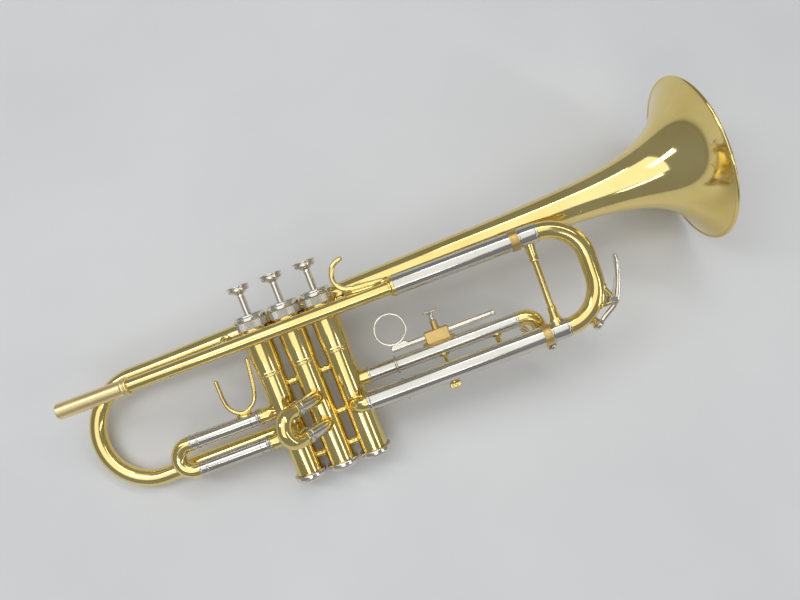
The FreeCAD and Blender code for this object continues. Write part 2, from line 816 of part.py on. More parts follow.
stations = [bit * (S.bell_len.value - 2.0) for bit in (1.0, 0.8, 0.6, 0.45, 0.33, 0.24, 0.18, 0.13)]
stations += [40.0, 30.0, 21.0, 14.0, 8.0, 3.5, 0.0]
outer_points = [Vector(S.bell_len.value - 2.0 - x, 0, horn(x)) for x in stations]
tip = outer_points[-1]
skin = Part.BSplineCurve()
skin.interpolate(outer_points)
inner_points = []
for point in outer_points:
    slope = skin.tangent(skin.parameter(point))[0]
    inner_points.append(point + Vector(slope.z, 0, -slope.x) * S.bell_wall.value)
inner_points[0] = Vector(outer_points[0].x, 0, outer_points[0].z - S.bell_wall.value)
lining = Part.BSplineCurve()
lining.interpolate(inner_points)
wall_edges = [
    skin.toShape(),
    Part.makeLine(outer_points[-1], inner_points[-1]),
    lining.toShape(),
    Part.makeLine(inner_points[0], outer_points[0]),
]
section = Part.Face(Part.Wire(Part.__sortEdges__(wall_edges)))
horn_solid = section.revolve(Vector(), AX, 360)
rim_major = S.bell_rim.value - S.rim_wire.value
rim_solid = Part.makeTorus(rim_major, S.rim_wire.value, vec(S.bell_len - S.rim_wire, 0, 0), AX)
bell = doc.addObject("Part::Feature", "bell_flare")
bell.Shape = horn_solid.fuse(rim_solid)
bell.Placement = BELL_PLACE
node(bell, "bell_flare")

lean = math.radians(S.tail_lean.value)
toward = Vector(0, math.sin(lean), -math.cos(lean))
bow_segments = [
    ("line", S.tail_lead),
    ("bend", S.tail_bend, 180.0, toward),
    ("cone", S.tail_len, S.tail_rad_b, S.tail_rad_a),
]
bell_bow = tube_run(
    "bell_bow_blank",
    bow_segments,
    S.tail_rad_a,
    S.bell_wall,
    BELL_PLACE * at(-0.05, 0, 0) * tilt(AZ, 180),
)
tail_trim = cylinder("tail_trim", S.case_rad + S.solder, 60.0, at(VALVES[0], 0, -100))
node(cut("bell_bow", bell_bow, [tail_trim]), "bell_bow")


def bell_axis(x):
    rise = math.radians(S.bell_rise.value)
    return Vector(x, S.bell_y.value, S.bell_z.value + (x - S.bell_x.value) * math.tan(rise))


bell_posts = []
for k, x in enumerate((118.0, 213.0)):
    low = vec(x, S.main_y, 0)
    high = bell_axis(x)
    span = high.sub(low)
    post = turned(
        "post%d" % k,
        [
            (2.0, 0),
            (2.0, 4.0),
            (5.6, 4.0),
            (7.6, 2.2),
            (span.Length / 2 - 1.5, 2.0),
            (span.Length / 2 - 1.0, 2.9),
            (span.Length / 2 + 1.0, 2.9),
            (span.Length / 2 + 1.5, 2.0),
            (span.Length - 12.5, 2.2),
            (span.Length - 9.5, 4.0),
            (span.Length - 4.0, 4.0),
            (span.Length - 4.0, 0),
        ],
        Placement(low, Rotation(AX, span)),
    )
    back = S.bell_x.value + S.bell_len.value - x
    along = Rotation(AZ, AX)
    pipe_trim = cylinder("post_pipe%d" % k, S.lead_rad_b + S.solder, 30.0, at(x - 15, S.main_y, 0, along))
    rise_turn = Rotation(AZ, Vector(1, 0, math.tan(math.radians(S.bell_rise.value))))
    bell_trim = cylinder(
        "post_bell%d" % k, horn(back - 6.0) + 0.1, 30.0, Placement(bell_axis(x - 15), rise_turn)
    )
    bell_posts.append(cut("bell_post%d" % k, post, [pipe_trim, bell_trim]))
node(group("bell_braces", bell_posts), "bell_braces")

# little-finger hook on top of the leadpipe
hook_segments = [("line", 21.0), ("bend", S.hook_bend, 168.0, Vector(0, 0, -1))]
hook_place = Placement(vec(240.5, S.main_y, 6.55), Rotation(AY, 185.0))
hook_run, hook_end, hook_way = sweep_along("hook", hook_segments, S.hook_rad)
hook_tips = [ball("hook_tip", S.hook_rad, hook_end), ball("hook_root", S.hook_rad, Vector())]
hook = fuse("hook_rod", [hook_run] + hook_tips)
hook.Placement = hook_place
foot = plate(
    "hook_foot",
    [(216.5, 7.9), (213.6, 6.6), (214.5, 4.4), (239.0, 4.4), (242.8, 5.0), (242.0, 6.0), (238.0, 6.6)],
    5.2,
    S.main_y,
)
pipe_clear = cylinder("hook_pipe", S.lead_rad_b + S.solder, 60.0, at(200, S.main_y, 0, Rotation(AZ, AX)))
node(cut("pinky_hook", fuse("hook_whole", [hook, foot]), [pipe_clear]), "pinky_hook")


# ---------------------------------------------------------------- main tuning slide

LEG_OUT = S.main_rad - S.main_wall - S.main_fit
tune_legs = []
tune_ferrules = []
for k, z in enumerate((dim(0), S.low_z)):
    tune_legs.append(
        ring(
            "tune_leg%d" % k, 0, S.tune_leg_end - S.tune_leg_x, LEG_OUT - S.tune_leg_wall, LEG_OUT,
            at(S.tune_leg_x, S.main_y, z),
        )
    )
    tune_ferrules.append(
        turned(
            "tune_ferrule%d" % k,
            [
                (0, LEG_OUT + S.solder),
                (0, S.tune_ferr_rad - 0.25),
                (0.25, S.tune_ferr_rad),
                (10.6, S.tune_ferr_rad),
                (11.0, S.tune_ferr_rad - 0.25),
                (11.3, S.tune_ferr_rad),
                (S.tune_ferr_len - 0.2, S.tune_ferr_rad),
                (S.tune_ferr_len, S.tune_ferr_rad - 0.2),
                (S.tune_ferr_len, S.tune_bow_rad + S.solder),
                (11.25, S.tune_bow_rad + S.solder),
                (11.25, LEG_OUT + S.solder),
            ],
            at(S.tune_ferr_x, S.main_y, z),
        )
    )
node(group("tuning_slide_legs", tune_legs), "tuning_slide_legs")
node(group("tuning_slide_ferrules", tune_ferrules), "tuning_slide_ferrules")

DOWN = Vector(0, 0, -1)
bow_flat = S.low_z * -1 - S.tune_bow_bend * 2
key_turn = math.radians(S.key_angle.value)
KEY_OUT = Vector(math.cos(key_turn), 0, math.sin(key_turn))
BOW_CENTRE = vec(S.tune_bow_x + 0.7, S.main_y, S.low_z + S.tune_bow_bend)
tune_bow = tube_links(
    "tune_bow_tube",
    [
        ("line", 0.7),
        ("bend", S.tune_bow_bend, 90.0, DOWN),
        ("line", bow_flat),
        ("bend", S.tune_bow_bend, 90.0, Vector(-1, 0, 0)),
        ("line", 0.7),
    ],
    S.tune_bow_rad,
    S.bow_wall,
)
tune_bow.Placement = at(S.tune_bow_x, S.main_y, 0)
drain = rod("drain", S.nipple_bore, BOW_CENTRE + KEY_OUT * 28.5, BOW_CENTRE + KEY_OUT * 36.0)
node(cut("tune_bow_drained", tune_bow, [drain]), "tuning_slide_bow")

brace_top = dim(0) - S.tune_ferr_rad + 1.2
brace_len = S.low_z * -1 - S.tune_ferr_rad * 2 + 2.4
brace = turned(
    "tune_brace",
    [
        (0, 0),
        (0, 3.8),
        (2.6, 3.5),
        (11.0, 3.0),
        (11.6, 3.2),
        (12.2, 2.9),
        (12.5, S.tune_brace_rad),
        (brace_len - 12.5, S.tune_brace_rad),
        (brace_len - 12.2, 2.9),
        (brace_len - 11.4, 3.1),
        (brace_len - 7.0, 3.2),
        (brace_len - 3.0, 4.1),
        (brace_len, 5.0),
        (brace_len, 0),
    ],
    Placement(vec(S.tune_brace_x, S.main_y, brace_top), TO_DOWN),
)
brace_trims = [
    cylinder("brace_trim%d" % k, S.tune_ferr_rad + S.solder, 30.0, at(330, S.main_y, z, Rotation(AZ, AX)))
    for k, z in enumerate((dim(0), S.low_z))
]
node(cut("tuning_slide_brace", brace, brace_trims), "tuning_slide_brace")


def toward_key(r):
    return BOW_CENTRE + KEY_OUT * r


# water key: nipple on the bow, saddle with pivot screw, lever with cup and cork
nipple = turned(
    "key_nipple",
    [
        (0, S.nipple_bore),
        (0, S.nipple_rad + 0.3),
        (3.0, S.nipple_rad + 0.3),
        (3.6, S.nipple_rad - 0.4),
        (S.key_seat - 30.5, S.nipple_rad - 0.4),
        (S.key_seat - 30.0, S.nipple_rad - 0.6),
        (S.key_seat - 30.0, S.nipple_bore),
    ],
    Placement(toward_key(30.0), Rotation(AX, KEY_OUT)),
)
bow_solids, bow_end, bow_way = sweep_along(
    "bow_trim",
    [
        ("line", 0.7),
        ("bend", S.tune_bow_bend, 90.0, DOWN),
        ("line", bow_flat),
        ("bend", S.tune_bow_bend, 90.0, Vector(-1, 0, 0)),
    ],
    S.tune_bow_rad + S.solder,
)
bow_solids.Placement = at(S.tune_bow_x, S.main_y, 0)
node(cut("water_key_nipple", nipple, [bow_solids]), "water_key_nipple")

PIVOT = vec(S.key_axis_x, S.main_y, S.key_axis_z)
lugs = []
for k, y in enumerate((-4.6, 4.6)):
    arm = plate(
        "key_lug%d" % k,
        [
            (379.5, -51.0),
            (382.9, -56.0),
            (386.0, -60.3),
            (385.2, -63.9),
            (381.5, -64.4),
            (376.0, -64.5),
            (372.5, -60.0),
        ],
        1.2,
        S.main_y + y,
    )
    lugs.append(arm)
    eye_place = Placement(PIVOT + Vector(0, y + 0.6, 0), Rotation(AZ, AY * -1))
    lugs.append(cylinder("key_eye%d" % k, 3.1, 1.2, eye_place))
saddle_base = plate(
    "key_base",
    [(381.0, -50.5), (383.0, -52.0), (378.9, -63.4), (375.5, -63.8), (374.0, -60.0)],
    10.4,
    S.main_y,
)
screw_hole = rod("key_hole", S.screw_rad, PIVOT + Vector(0, -12, 0), PIVOT + Vector(0, 12, 0))
lever_room = rod("key_room", 2.6, PIVOT + Vector(0, -3.95, 0), PIVOT + Vector(0, 3.95, 0))
bow_copy, bow_end, bow_way = sweep_along(
    "saddle_trim",
    [
        ("line", 0.7),
        ("bend", S.tune_bow_bend, 90.0, DOWN),
        ("line", bow_flat),
        ("bend", S.tune_bow_bend, 90.0, Vector(-1, 0, 0)),
    ],
    S.tune_bow_rad + S.solder,
)
bow_copy.Placement = at(S.tune_bow_x, S.main_y, 0)
saddle_body = fuse("key_saddle_body", lugs + [saddle_base])
saddle = cut("water_key_saddle", saddle_body, [screw_hole, lever_room, bow_copy])
node(saddle, "water_key_saddle")

screw_profile = [
    (0, 0),
    (0, 2.4),
    (0.5, 2.9),
    (1.3, 2.9),
    (1.3, S.screw_rad - S.solder),
    (11.6, S.screw_rad - S.solder),
    (11.6, 0),
]
screw = turned("key_screw", screw_profile, Placement(PIVOT + Vector(0, -6.55, 0), Rotation(AX, AY)))
screw_slot = box("key_slot", (7.0, 0.6, 0.7), (PIVOT.x - 3.5, PIVOT.y - 6.6, PIVOT.z - 0.35))
node(cut("water_key_screw", screw, [screw_slot]), "water_key_screw")

lever_points = [
    (372.4, -78.4),
    (377.0, -75.6),
    (382.0, -70.9),
    (386.4, -65.2),
    (390.0, -57.6),
    (392.6, -49.0),
    (394.5, -40.5),
    (395.8, -34.0),
]
lever_solids = rod_chain("lever", [vec(x, S.main_y, z) for x, z in lever_points], S.lever_rad)
cup = turned(
    "key_cup",
    [
        (0, S.cup_rad - 0.9),
        (0, S.cup_rad),
        (2.4, S.cup_rad - 0.2),
        (3.4, S.cup_rad - 1.3),
        (3.8, S.cup_rad - 2.6),
        (3.8, 0),
        (1.2, 0),
        (1.2, S.cup_rad - 0.9),
    ],
    Placement(toward_key(S.key_seat.value + 0.75), Rotation(AX, KEY_OUT)),
)
hub = rod("key_hub", 2.2, PIVOT + Vector(0, -3.7, 0), PIVOT + Vector(0, 3.7, 0))
web = plate(
    "key_web",
    [(382.4, -62.4), (384.8, -59.9), (389.3, -58.6), (387.2, -64.0), (384.2, -67.4)],
    2.6,
    S.main_y,
)
lever_bore = rod("key_bore", S.screw_rad + 0.05, PIVOT + Vector(0, -6, 0), PIVOT + Vector(0, 6, 0))
lever = cut("water_key_lever", fuse("lever_body", lever_solids + [cup, hub, web]), [lever_bore])
node(lever, "water_key_lever")
cork = turned(
    "water_key_cork",
    [(0, 0), (0, S.cup_rad - 1.0), (1.85, S.cup_rad - 0.95), (1.85, 0)],
    Placement(toward_key(S.key_seat.value + 0.05), Rotation(AX, KEY_OUT)),
)
node(cork, "water_key_cork")


# ---------------------------------------------------------------- first valve slide

one_legs = []
one_stops = []
one_tubes = []
for k, z in enumerate(SLIDE_Z):
    leg_len = VALVES[0] - 8.95 - S.one_leg_x
    one_legs.append(ring("one_leg%d" % k, 0, leg_len, BORE, LEG_RAD, at(S.one_leg_x, S.one_y, z)))
    one_stops.append(
        turned(
            "one_stop%d" % k,
            [
                (0, LEG_RAD + S.solder),
                (0, S.small_rad),
                (S.one_stop_len - 3.0, S.small_rad),
                (S.one_stop_len - 2.7, S.small_rad + 0.7),
                (S.one_stop_len - 1.8, S.small_rad + 0.7),
                (S.one_stop_len - 1.5, S.small_rad + 0.1),
                (S.one_stop_len - 1.1, S.small_rad + 0.7),
                (S.one_stop_len - 0.3, S.small_rad + 0.7),
                (S.one_stop_len, S.small_rad + 0.3),
                (S.one_stop_len, LEG_RAD + S.solder),
            ],
            at(S.one_stop_x, S.one_y, z),
        )
    )
    one_tubes.append(
        turned(
            "one_tube%d" % k,
            [
                (0, S.small_rad - S.small_wall),
                (0, S.small_rad + 0.2),
                (0.3, S.small_rad + 0.45),
                (0.9, S.small_rad + 0.45),
                (1.2, S.small_rad),
                (5.6, S.small_rad),
                (5.9, S.small_rad + 0.35),
                (6.5, S.small_rad + 0.35),
                (6.8, S.small_rad),
                (S.one_tube_len, S.small_rad),
                (S.one_tube_len, S.small_rad - S.small_wall),
            ],
            at(S.one_tube_x, S.one_y, z),
        )
    )
node(group("first_slide_inner_tubes", one_legs), "first_slide_inner_tubes")
node(group("first_slide_stops", one_stops), "first_slide_stops")
node(group("first_slide_outer_tubes", one_tubes), "first_slide_outer_tubes")
one_lead = S.one_tube_x - 0.03 - S.one_bow_x
one_bow = tube_run(
    "first_slide_bow",
    [("line", one_lead), ("bend", S.small_bend, 180.0, DOWN), ("line", one_lead)],
    S.small_rad,
    S.small_wall,
    Placement(vec(S.one_tube_x - 0.03, S.one_y, SLIDE_Z[0]), Rotation(AZ, 180)),
)
node(one_bow, "first_slide_bow")

hook_line = [(105.2, -20.6), (105.2, -33.0), (106.0, -39.0), (108.4, -43.6), (112.0, -46.5), (116.0, -47.6)]
hook_line += [(120.0, -46.3), (124.3, -43.2), (127.4, -37.8), (129.2, -29.0), (130.6, -20.0), (131.6, -12.9)]
thumb = rod_chain("thumb", [vec(x, S.one_y, z) for x, z in hook_line], S.saddle_rad)
pad_low = cylinder("thumb_pad", S.small_rad + 1.3, 9.6, at(110.6, S.one_y, SLIDE_Z[0], Rotation(AZ, AX)))
pad_keep = box("thumb_keep", (9.6, 7.4, 4.0), (110.6, S.one_y - 3.7, SLIDE_Z[0] + 3.9))
pad = doc.addObject("Part::Common", "thumb_saddle")
pad.Base = pad_low
pad.Tool = pad_keep
thumb_place = at(90, S.one_y, SLIDE_Z[0], Rotation(AZ, AX))
thumb_clear = cylinder("thumb_clear", S.small_rad + S.solder, 60.0, thumb_place)
node(cut("thumb_hook", fuse("thumb_body", thumb + [pad]), [thumb_clear]), "thumb_hook")


# ---------------------------------------------------------------- second valve slide

two_tubes = []
two_legs = []
for k, place in enumerate(two_place):
    two_tubes.append(
        turned(
            "two_tube%d" % k,
            [
                (0.02, S.small_rad - S.small_wall),
                (0.02, S.small_rad),
                (S.two_tube_len - 4.6, S.small_rad),
                (S.two_tube_len - 4.2, S.small_rad + 0.35),
                (S.two_tube_len - 3.4, S.small_rad + 0.35),
                (S.two_tube_len - 3.0, S.small_rad),
                (S.two_tube_len - 0.9, S.small_rad),
                (S.two_tube_len - 0.6, S.small_rad + 0.4),
                (S.two_tube_len, S.small_rad + 0.4),
                (S.two_tube_len, S.small_rad - S.small_wall),
            ],
            place,
        )
    )
    two_legs.append(
        ring("two_leg%d" % k, 0, S.two_leg_len, BORE, LEG_RAD, place * at(2.4, 0, 0))
    )
node(group("second_slide_outer_tubes", two_tubes), "second_slide_outer_tubes")
node(group("second_slide_legs", two_legs), "second_slide_legs")
two_straight = dim(4.0)
bow_inner, bow_end, bow_way = sweep_along(
    "two_bow_in",
    [("line", two_straight), ("bend", S.small_bend, 180.0, DOWN), ("line", two_straight)],
    LEG_RAD + S.solder,
)
bow_outer, bow_end, bow_way = sweep_along(
    "two_bow_out",
    [("line", two_straight), ("bend", S.small_bend, 180.0, DOWN), ("line", two_straight)],
    S.small_rad - 0.05,
)
two_rings = [
    cylinder("two_ring%d" % k, S.small_rad + 0.4, 0.8, Placement(Vector(0, 0, -20.0 * k), Rotation(AZ, AX)))
    for k in range(2)
]
two_bow = cut("second_slide_bow", fuse("two_bow_skin", [bow_outer] + two_rings), [bow_inner])
two_bow.Placement = two_place[0] * at(S.two_tube_len + 0.4, 0, 0)
node(two_bow, "second_slide_bow")


# ---------------------------------------------------------------- third valve slide

three_legs = []
three_sleeves = []
three_tubes = []
for k, z in enumerate(SLIDE_Z):
    first = VALVES[2] + 9.05
    three_legs.append(ring("three_leg%d" % k, 0, S.three_leg_end - first, BORE, LEG_RAD, at(first, 0, z)))
    three_sleeves.append(
        turned(
            "three_sleeve%d" % k,
            [
                (0, LEG_RAD + S.solder),
                (0, S.small_rad + 0.3),
                (0.5, S.small_rad + 0.45),
                (1.2, S.small_rad + 0.45),
                (1.5, S.small_rad),
                (S.three_sleeve_len - 1.6, S.small_rad),
                (S.three_sleeve_len - 1.2, S.small_rad + 1.3),
                (S.three_sleeve_len - 0.3, S.small_rad + 1.3),
                (S.three_sleeve_len, S.small_rad + 1.0),
                (S.three_sleeve_len, LEG_RAD + S.solder),
            ],
            at(S.three_sleeve_x, 0, z),
        )
    )
    three_tubes.append(
        turned(
            "three_tube%d" % k,
            [
                (0, S.small_rad - S.small_wall),
                (0, S.small_rad),
                (S.three_tube_len - 2.0, S.small_rad),
                (S.three_tube_len - 1.6, S.small_rad + 0.35),
                (S.three_tube_len - 0.4, S.small_rad + 0.35),
                (S.three_tube_len, S.small_rad + 0.1),
                (S.three_tube_len, S.small_rad - S.small_wall),
            ],
            at(S.three_tube_x, 0, z),
        )
    )
node(group("third_slide_inner_tubes", three_legs), "third_slide_inner_tubes")
node(group("third_slide_sleeves", three_sleeves), "third_slide_sleeves")
node(group("third_slide_outer_tubes", three_tubes), "third_slide_outer_tubes")
three_lead = S.three_bow_x - S.three_tube_x - S.three_tube_len - 0.03
three_bow = tube_run(
    "three_bow_tube",
    [("line", three_lead), ("bend", S.small_bend, 180.0, DOWN), ("line", three_lead)],
    S.small_rad,
    S.small_wall,
    at(S.three_bow_x - three_lead, 0, SLIDE_Z[0]),
)

# third slide water key, in its own frame at the bow's bend centre:
# local X runs out through the nipple and local Z toward the far side of the bow
three_turn = math.radians(S.three_key_angle.value)
THREE_OUT = Vector(math.cos(three_turn), 0, math.sin(three_turn))
KEY_FRAME = Placement(
    vec(S.three_bow_x, 0, SLIDE_Z[0] - S.small_bend), Rotation(THREE_OUT, AY.cross(THREE_OUT), AY, "XZY")
)
three_drain = rod("three_drain", S.three_key_bore, Vector(10, 0, 0), Vector(18, 0, 0))
three_drain.Placement = KEY_FRAME * three_drain.Placement
node(cut("three_bow_drained", three_bow, [three_drain]), "third_slide_bow")


def key_bow(name):
    """The third slide bow as a solid in the key's frame, for trimming what sits on it."""
    torus = doc.addObject("Part::Torus", name)
    bind(torus, "Radius1", S.small_bend)
    bind(torus, "Radius2", S.small_rad + S.solder)
    return torus


key_y = S.three_key_side
key_x = S.three_key_reach
three_nipple = turned(
    "three_nipple_ring",
    [
        (0, S.three_key_bore),
        (0, 3.3),
        (2.6, 3.3),
        (3.1, 2.6),
        (S.three_key_seat - 13.5, 2.6),
        (S.three_key_seat - 13.0, 2.3),
        (S.three_key_seat - 13.0, S.three_key_bore),
    ],
    at(13.0, 0, 0),
)
LUG_LINE = [(10.5, 4.6), (14.0, 9.2), (17.4, 10.6), (20.6, 8.6), (19.4, 5.6), (14.6, 2.6)]
three_lugs = []
for k, across in enumerate((-3.5, 3.5)):
    three_lugs.append(plate("three_lug%d" % k, LUG_LINE, 1.0, across))
three_pad = plate("three_pad", [(10.5, 4.6), (12.0, 6.6), (15.4, 4.2), (14.6, 2.6)], 8.0, 0)
three_eye = rod("three_eye", S.three_pin_rad, vec(key_x, -8, key_y), vec(key_x, 8, key_y))
three_body = fuse("three_saddle_body", three_lugs + [three_pad])
three_saddle = cut("three_saddle", three_body, [three_eye, key_bow("saddle_bow")])
three_seat = group("three_seat", [cut("three_nipple_cut", three_nipple, [key_bow("nipple_bow")]), three_saddle])
three_seat.Placement = KEY_FRAME
node(three_seat, "third_key_saddle")

three_pin = turned(
    "three_pin",
    [
        (0, 0),
        (0, 1.6),
        (0.4, 2.1),
        (1.0, 2.1),
        (1.0, S.three_pin_rad - S.solder),
        (8.6, S.three_pin_rad - S.solder),
        (8.6, 0),
    ],
    KEY_FRAME * Placement(vec(key_x, -5.05, key_y), Rotation(AX, AY)),
)
node(three_pin, "third_key_screw")

three_path = [(23.9, 0.3), (24.3, 3.8), (22.4, 7.6), (18.9, 9.7), (13.2, 11.8), (6.6, 12.5), (0.5, 12.6)]
three_arm = rod_chain("three_arm", [Vector(x, 0, z) for x, z in three_path], S.three_arm_rad)
three_cup = turned(
    "three_cup",
    [
        (0, S.three_cup_rad - 0.9),
        (0, S.three_cup_rad),
        (2.2, S.three_cup_rad - 0.2),
        (3.0, S.three_cup_rad - 1.0),
        (3.4, S.three_cup_rad - 2.0),
        (3.4, 0),
        (1.1, 0),
        (1.1, S.three_cup_rad - 0.9),
    ],
    at(S.three_key_seat + 0.6, 0, 0),
)
three_hub = rod("three_hub", 1.9, vec(key_x, -2.7, key_y), vec(key_x, 2.7, key_y))
three_touch = plate("three_touch", [(-1.7, 12.1), (-1.7, 13.3), (4.8, 13.3), (4.8, 12.1)], 5.4, 0)
three_bore = rod("three_bore", S.three_pin_rad + 0.05, vec(key_x, -6, key_y), vec(key_x, 6, key_y))
three_lever = cut(
    "three_lever", fuse("three_lever_body", three_arm + [three_cup, three_hub, three_touch]), [three_bore]
)
three_lever.Placement = KEY_FRAME
node(three_lever, "third_key_lever")
three_cork = turned(
    "three_cork",
    [(0, 0), (0, S.three_cup_rad - 1.0), (1.6, S.three_cup_rad - 0.95), (1.6, 0)],
    KEY_FRAME * at(S.three_key_seat + 0.05, 0, 0),
)
node(three_cork, "third_key_cork")


def slide_cores(name, extra=0.03):
    """The two moving outer tubes of the third slide as solids, for trimming what is soldered to them."""
    return [
        cylinder("%s%d" % (name, k), S.small_rad + extra, 100.0, at(225, 0, z, Rotation(AZ, AX)))
        for k, z in enumerate(SLIDE_Z)
    ]


stays = []
for k, (x, thin) in enumerate(((263.3, 1.3), (303.0, 1.9))):
    stay = turned(
        "stay%d" % k,
        [
            (0, 0),
            (0, 4.2),
            (2.4, 3.6),
            (3.6, thin),
            (8.4, thin),
            (9.6, 3.6),
            (12.0, 4.2),
            (12.0, 0),
        ],
        Placement(vec(x, 0, SLIDE_Z[0] - 4.0), TO_DOWN),
    )
    stays.append(cut("stay_cut%d" % k, stay, slide_cores("stay_trim%d_" % k)))
node(group("third_slide_braces", stays), "third_slide_braces")

nut = turned(
    "nut_blank",
    [
        (0, 0),
        (0, 2.6),
        (1.6, 2.6),
        (1.9, 4.0),
        (2.3, 4.2),
        (5.4, 4.2),
        (5.8, 3.9),
        (5.8, 0),
    ],
    Placement(vec(263.3, 0, SLIDE_Z[1] - 4.4), TO_DOWN),
)
node(cut("nut_cut", nut, slide_cores("nut_trim")), "third_slide_nut")

block = box(
    "block_body",
    (S.block_len, S.block_wide, S.block_high - S.block_low),
    (S.block_x, S.block_wide * -0.5, S.block_low),
)
block_foot = cylinder(
    "block_foot", S.small_rad + 1.7, S.block_len + 1.8, at(S.block_x - 0.9, 0, SLIDE_Z[0], Rotation(AZ, AX))
)
foot_keep = box("foot_keep", (S.block_len + 1.8, 11.0, 5.0), (S.block_x - 0.9, -5.5, SLIDE_Z[0] + 3.6))
block_saddle = doc.addObject("Part::Common", "block_saddle")
block_saddle.Base = block_foot
block_saddle.Tool = foot_keep
THUMB_X = S.block_x + S.block_len * 0.53
block_post = cylinder("block_post", 2.5, 6.8, at(THUMB_X, 0, S.block_high - 0.1))
rod_hole = cylinder("rod_hole", S.rod_rad + 0.08, 40.0, at(S.block_x - 10, 0, S.rod_z, Rotation(AZ, AX)))
thumb_hole = cylinder("thumb_hole", 1.25, 20.0, at(THUMB_X, 0, S.rod_z))
block_clear = slide_cores("block_trim")
block_whole = fuse("block_whole", [block, block_saddle, block_post])
node(cut("rod_holder", block_whole, [rod_hole, thumb_hole] + block_clear), "rod_holder")

thumbscrew = turned(
    "thumbscrew",
    [
        (0, 0),
        (0, 0.8),
        (0.3, 1.18),
        (8.4, 1.18),
        (8.4, 1.5),
        (9.2, 2.2),
        (10.0, 2.2),
        (10.5, 1.4),
        (11.6, 1.4),
        (12.2, 2.2),
        (13.4, 2.2),
        (14.0, 5.2),
        (14.5, 5.6),
        (15.0, 5.6),
        (15.4, 5.2),
        (15.4, 0),
    ],
    Placement(vec(THUMB_X, 0, S.rod_z + S.rod_rad + 0.02), TO_UP),
)
node(thumbscrew, "thumbscrew")

ring_half = S.ring_wide * 0.5
ring_hoop = ring(
    "ring_hoop",
    0,
    S.ring_wide,
    S.ring_rad - S.ring_thick,
    S.ring_rad,
    Placement(vec(S.ring_x, ring_half * -1, S.ring_z), Rotation(AX, AY)),
)
ring_rod = turned(
    "ring_rod",
    [
        (0, 0),
        (0, S.rod_rad - 0.2),
        (0.2, S.rod_rad),
        (S.rod_len - 3.0, S.rod_rad),
        (S.rod_len - 2.7, S.rod_rad - 0.35),
        (S.rod_len - 2.2, S.rod_rad - 0.35),
        (S.rod_len - 1.9, S.rod_rad),
        (S.rod_len - 0.3, S.rod_rad),
        (S.rod_len, S.rod_rad - 0.3),
        (S.rod_len, 0),
    ],
    at(S.rod_x, 0, S.rod_z),
)
ring_foot = box("ring_foot", (11.0, 3.6, 3.2), (S.rod_x, -1.8, S.rod_z + 0.6))
ring_clear = rod(
    "ring_clear",
    S.ring_rad - S.ring_thick,
    vec(S.ring_x, -6, S.ring_z),
    vec(S.ring_x, 6, S.ring_z),
)
node(cut("finger_ring", fuse("ring_body", [ring_hoop, ring_rod, ring_foot]), [ring_clear]), "finger_ring")


# ---------------------------------------------------------------- checks and files

doc.recompute()
for obj in doc.Objects:
    if "Invalid" in obj.State or "Error" in obj.State:
        raise RuntimeError("%s did not rebuild: %s" % (obj.Label, obj.State))
os.makedirs("parts", exist_ok=True)
for obj in NODES:
    shape = obj.Shape
    if shape.isNull() or not shape.isValid() or not shape.Solids:
        raise RuntimeError("%s has no valid solid" % obj.Label)
    shape.exportStep(os.path.join("parts", obj.Label + ".step"))
print("%d pieces" % len(NODES))
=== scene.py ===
import json
import math

import bmesh
import bpy
from mathutils import Matrix, Vector


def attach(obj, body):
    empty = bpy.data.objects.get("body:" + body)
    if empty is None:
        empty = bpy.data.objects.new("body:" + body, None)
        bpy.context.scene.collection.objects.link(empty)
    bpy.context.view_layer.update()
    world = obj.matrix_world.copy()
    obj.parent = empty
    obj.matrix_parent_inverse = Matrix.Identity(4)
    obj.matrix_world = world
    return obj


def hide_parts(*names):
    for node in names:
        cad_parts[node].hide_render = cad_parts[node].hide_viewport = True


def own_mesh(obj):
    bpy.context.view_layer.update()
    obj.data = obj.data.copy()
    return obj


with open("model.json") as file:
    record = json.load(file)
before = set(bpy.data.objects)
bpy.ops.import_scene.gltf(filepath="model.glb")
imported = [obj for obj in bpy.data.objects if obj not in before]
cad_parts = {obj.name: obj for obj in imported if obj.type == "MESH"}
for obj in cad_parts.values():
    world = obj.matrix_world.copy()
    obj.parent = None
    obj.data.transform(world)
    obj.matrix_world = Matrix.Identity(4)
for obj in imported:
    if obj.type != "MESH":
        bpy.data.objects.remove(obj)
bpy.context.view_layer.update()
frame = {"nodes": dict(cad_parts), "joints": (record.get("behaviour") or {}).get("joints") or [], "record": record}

# A piston-valve trumpet lying on its left side. Sizes are in millimetres in the playing frame of the
# instrument: X from the receiver to the bell, Y to the player's left, Z up along the valve stems.
# LAY turns that frame to the lying pose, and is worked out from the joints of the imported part.

JOINTS = {joint["name"]: joint for joint in frame["joints"]}
AX, AY, AZ = Vector((1, 0, 0)), Vector((0, 1, 0)), Vector((0, 0, 1))
KEY_PIVOT = Vector((383.6, -17.0, -61.6))
along = Vector(JOINTS["tuning_slide_pull"]["axis"])
upward = Vector(JOINTS["valve_1_press"]["axis"]) * -1
TURN = Matrix((along, upward.cross(along), upward)).transposed()
HOME = Vector(JOINTS["water_key_press"]["pos_m"]) - TURN @ KEY_PIVOT * 0.001
LAY = Matrix.Translation(HOME) @ TURN.to_4x4() @ Matrix.Scale(0.001, 4)


# ---------------------------------------------------------------- places and outlines


def aim(point, way, side=None):
    """A place whose local X runs along way, with local Z as near side as it can be."""
    way = Vector(way).normalized()
    side = Vector(side) if side else Vector(AZ)
    if abs(way.dot(side)) > 0.999:
        side = Vector(AX) if abs(way.x) < 0.5 else Vector(AY)
    up = (side - way * side.dot(way)).normalized()
    place = Matrix((way, up.cross(way), up)).transposed().to_4x4()
    place.translation = Vector(point)
    return place


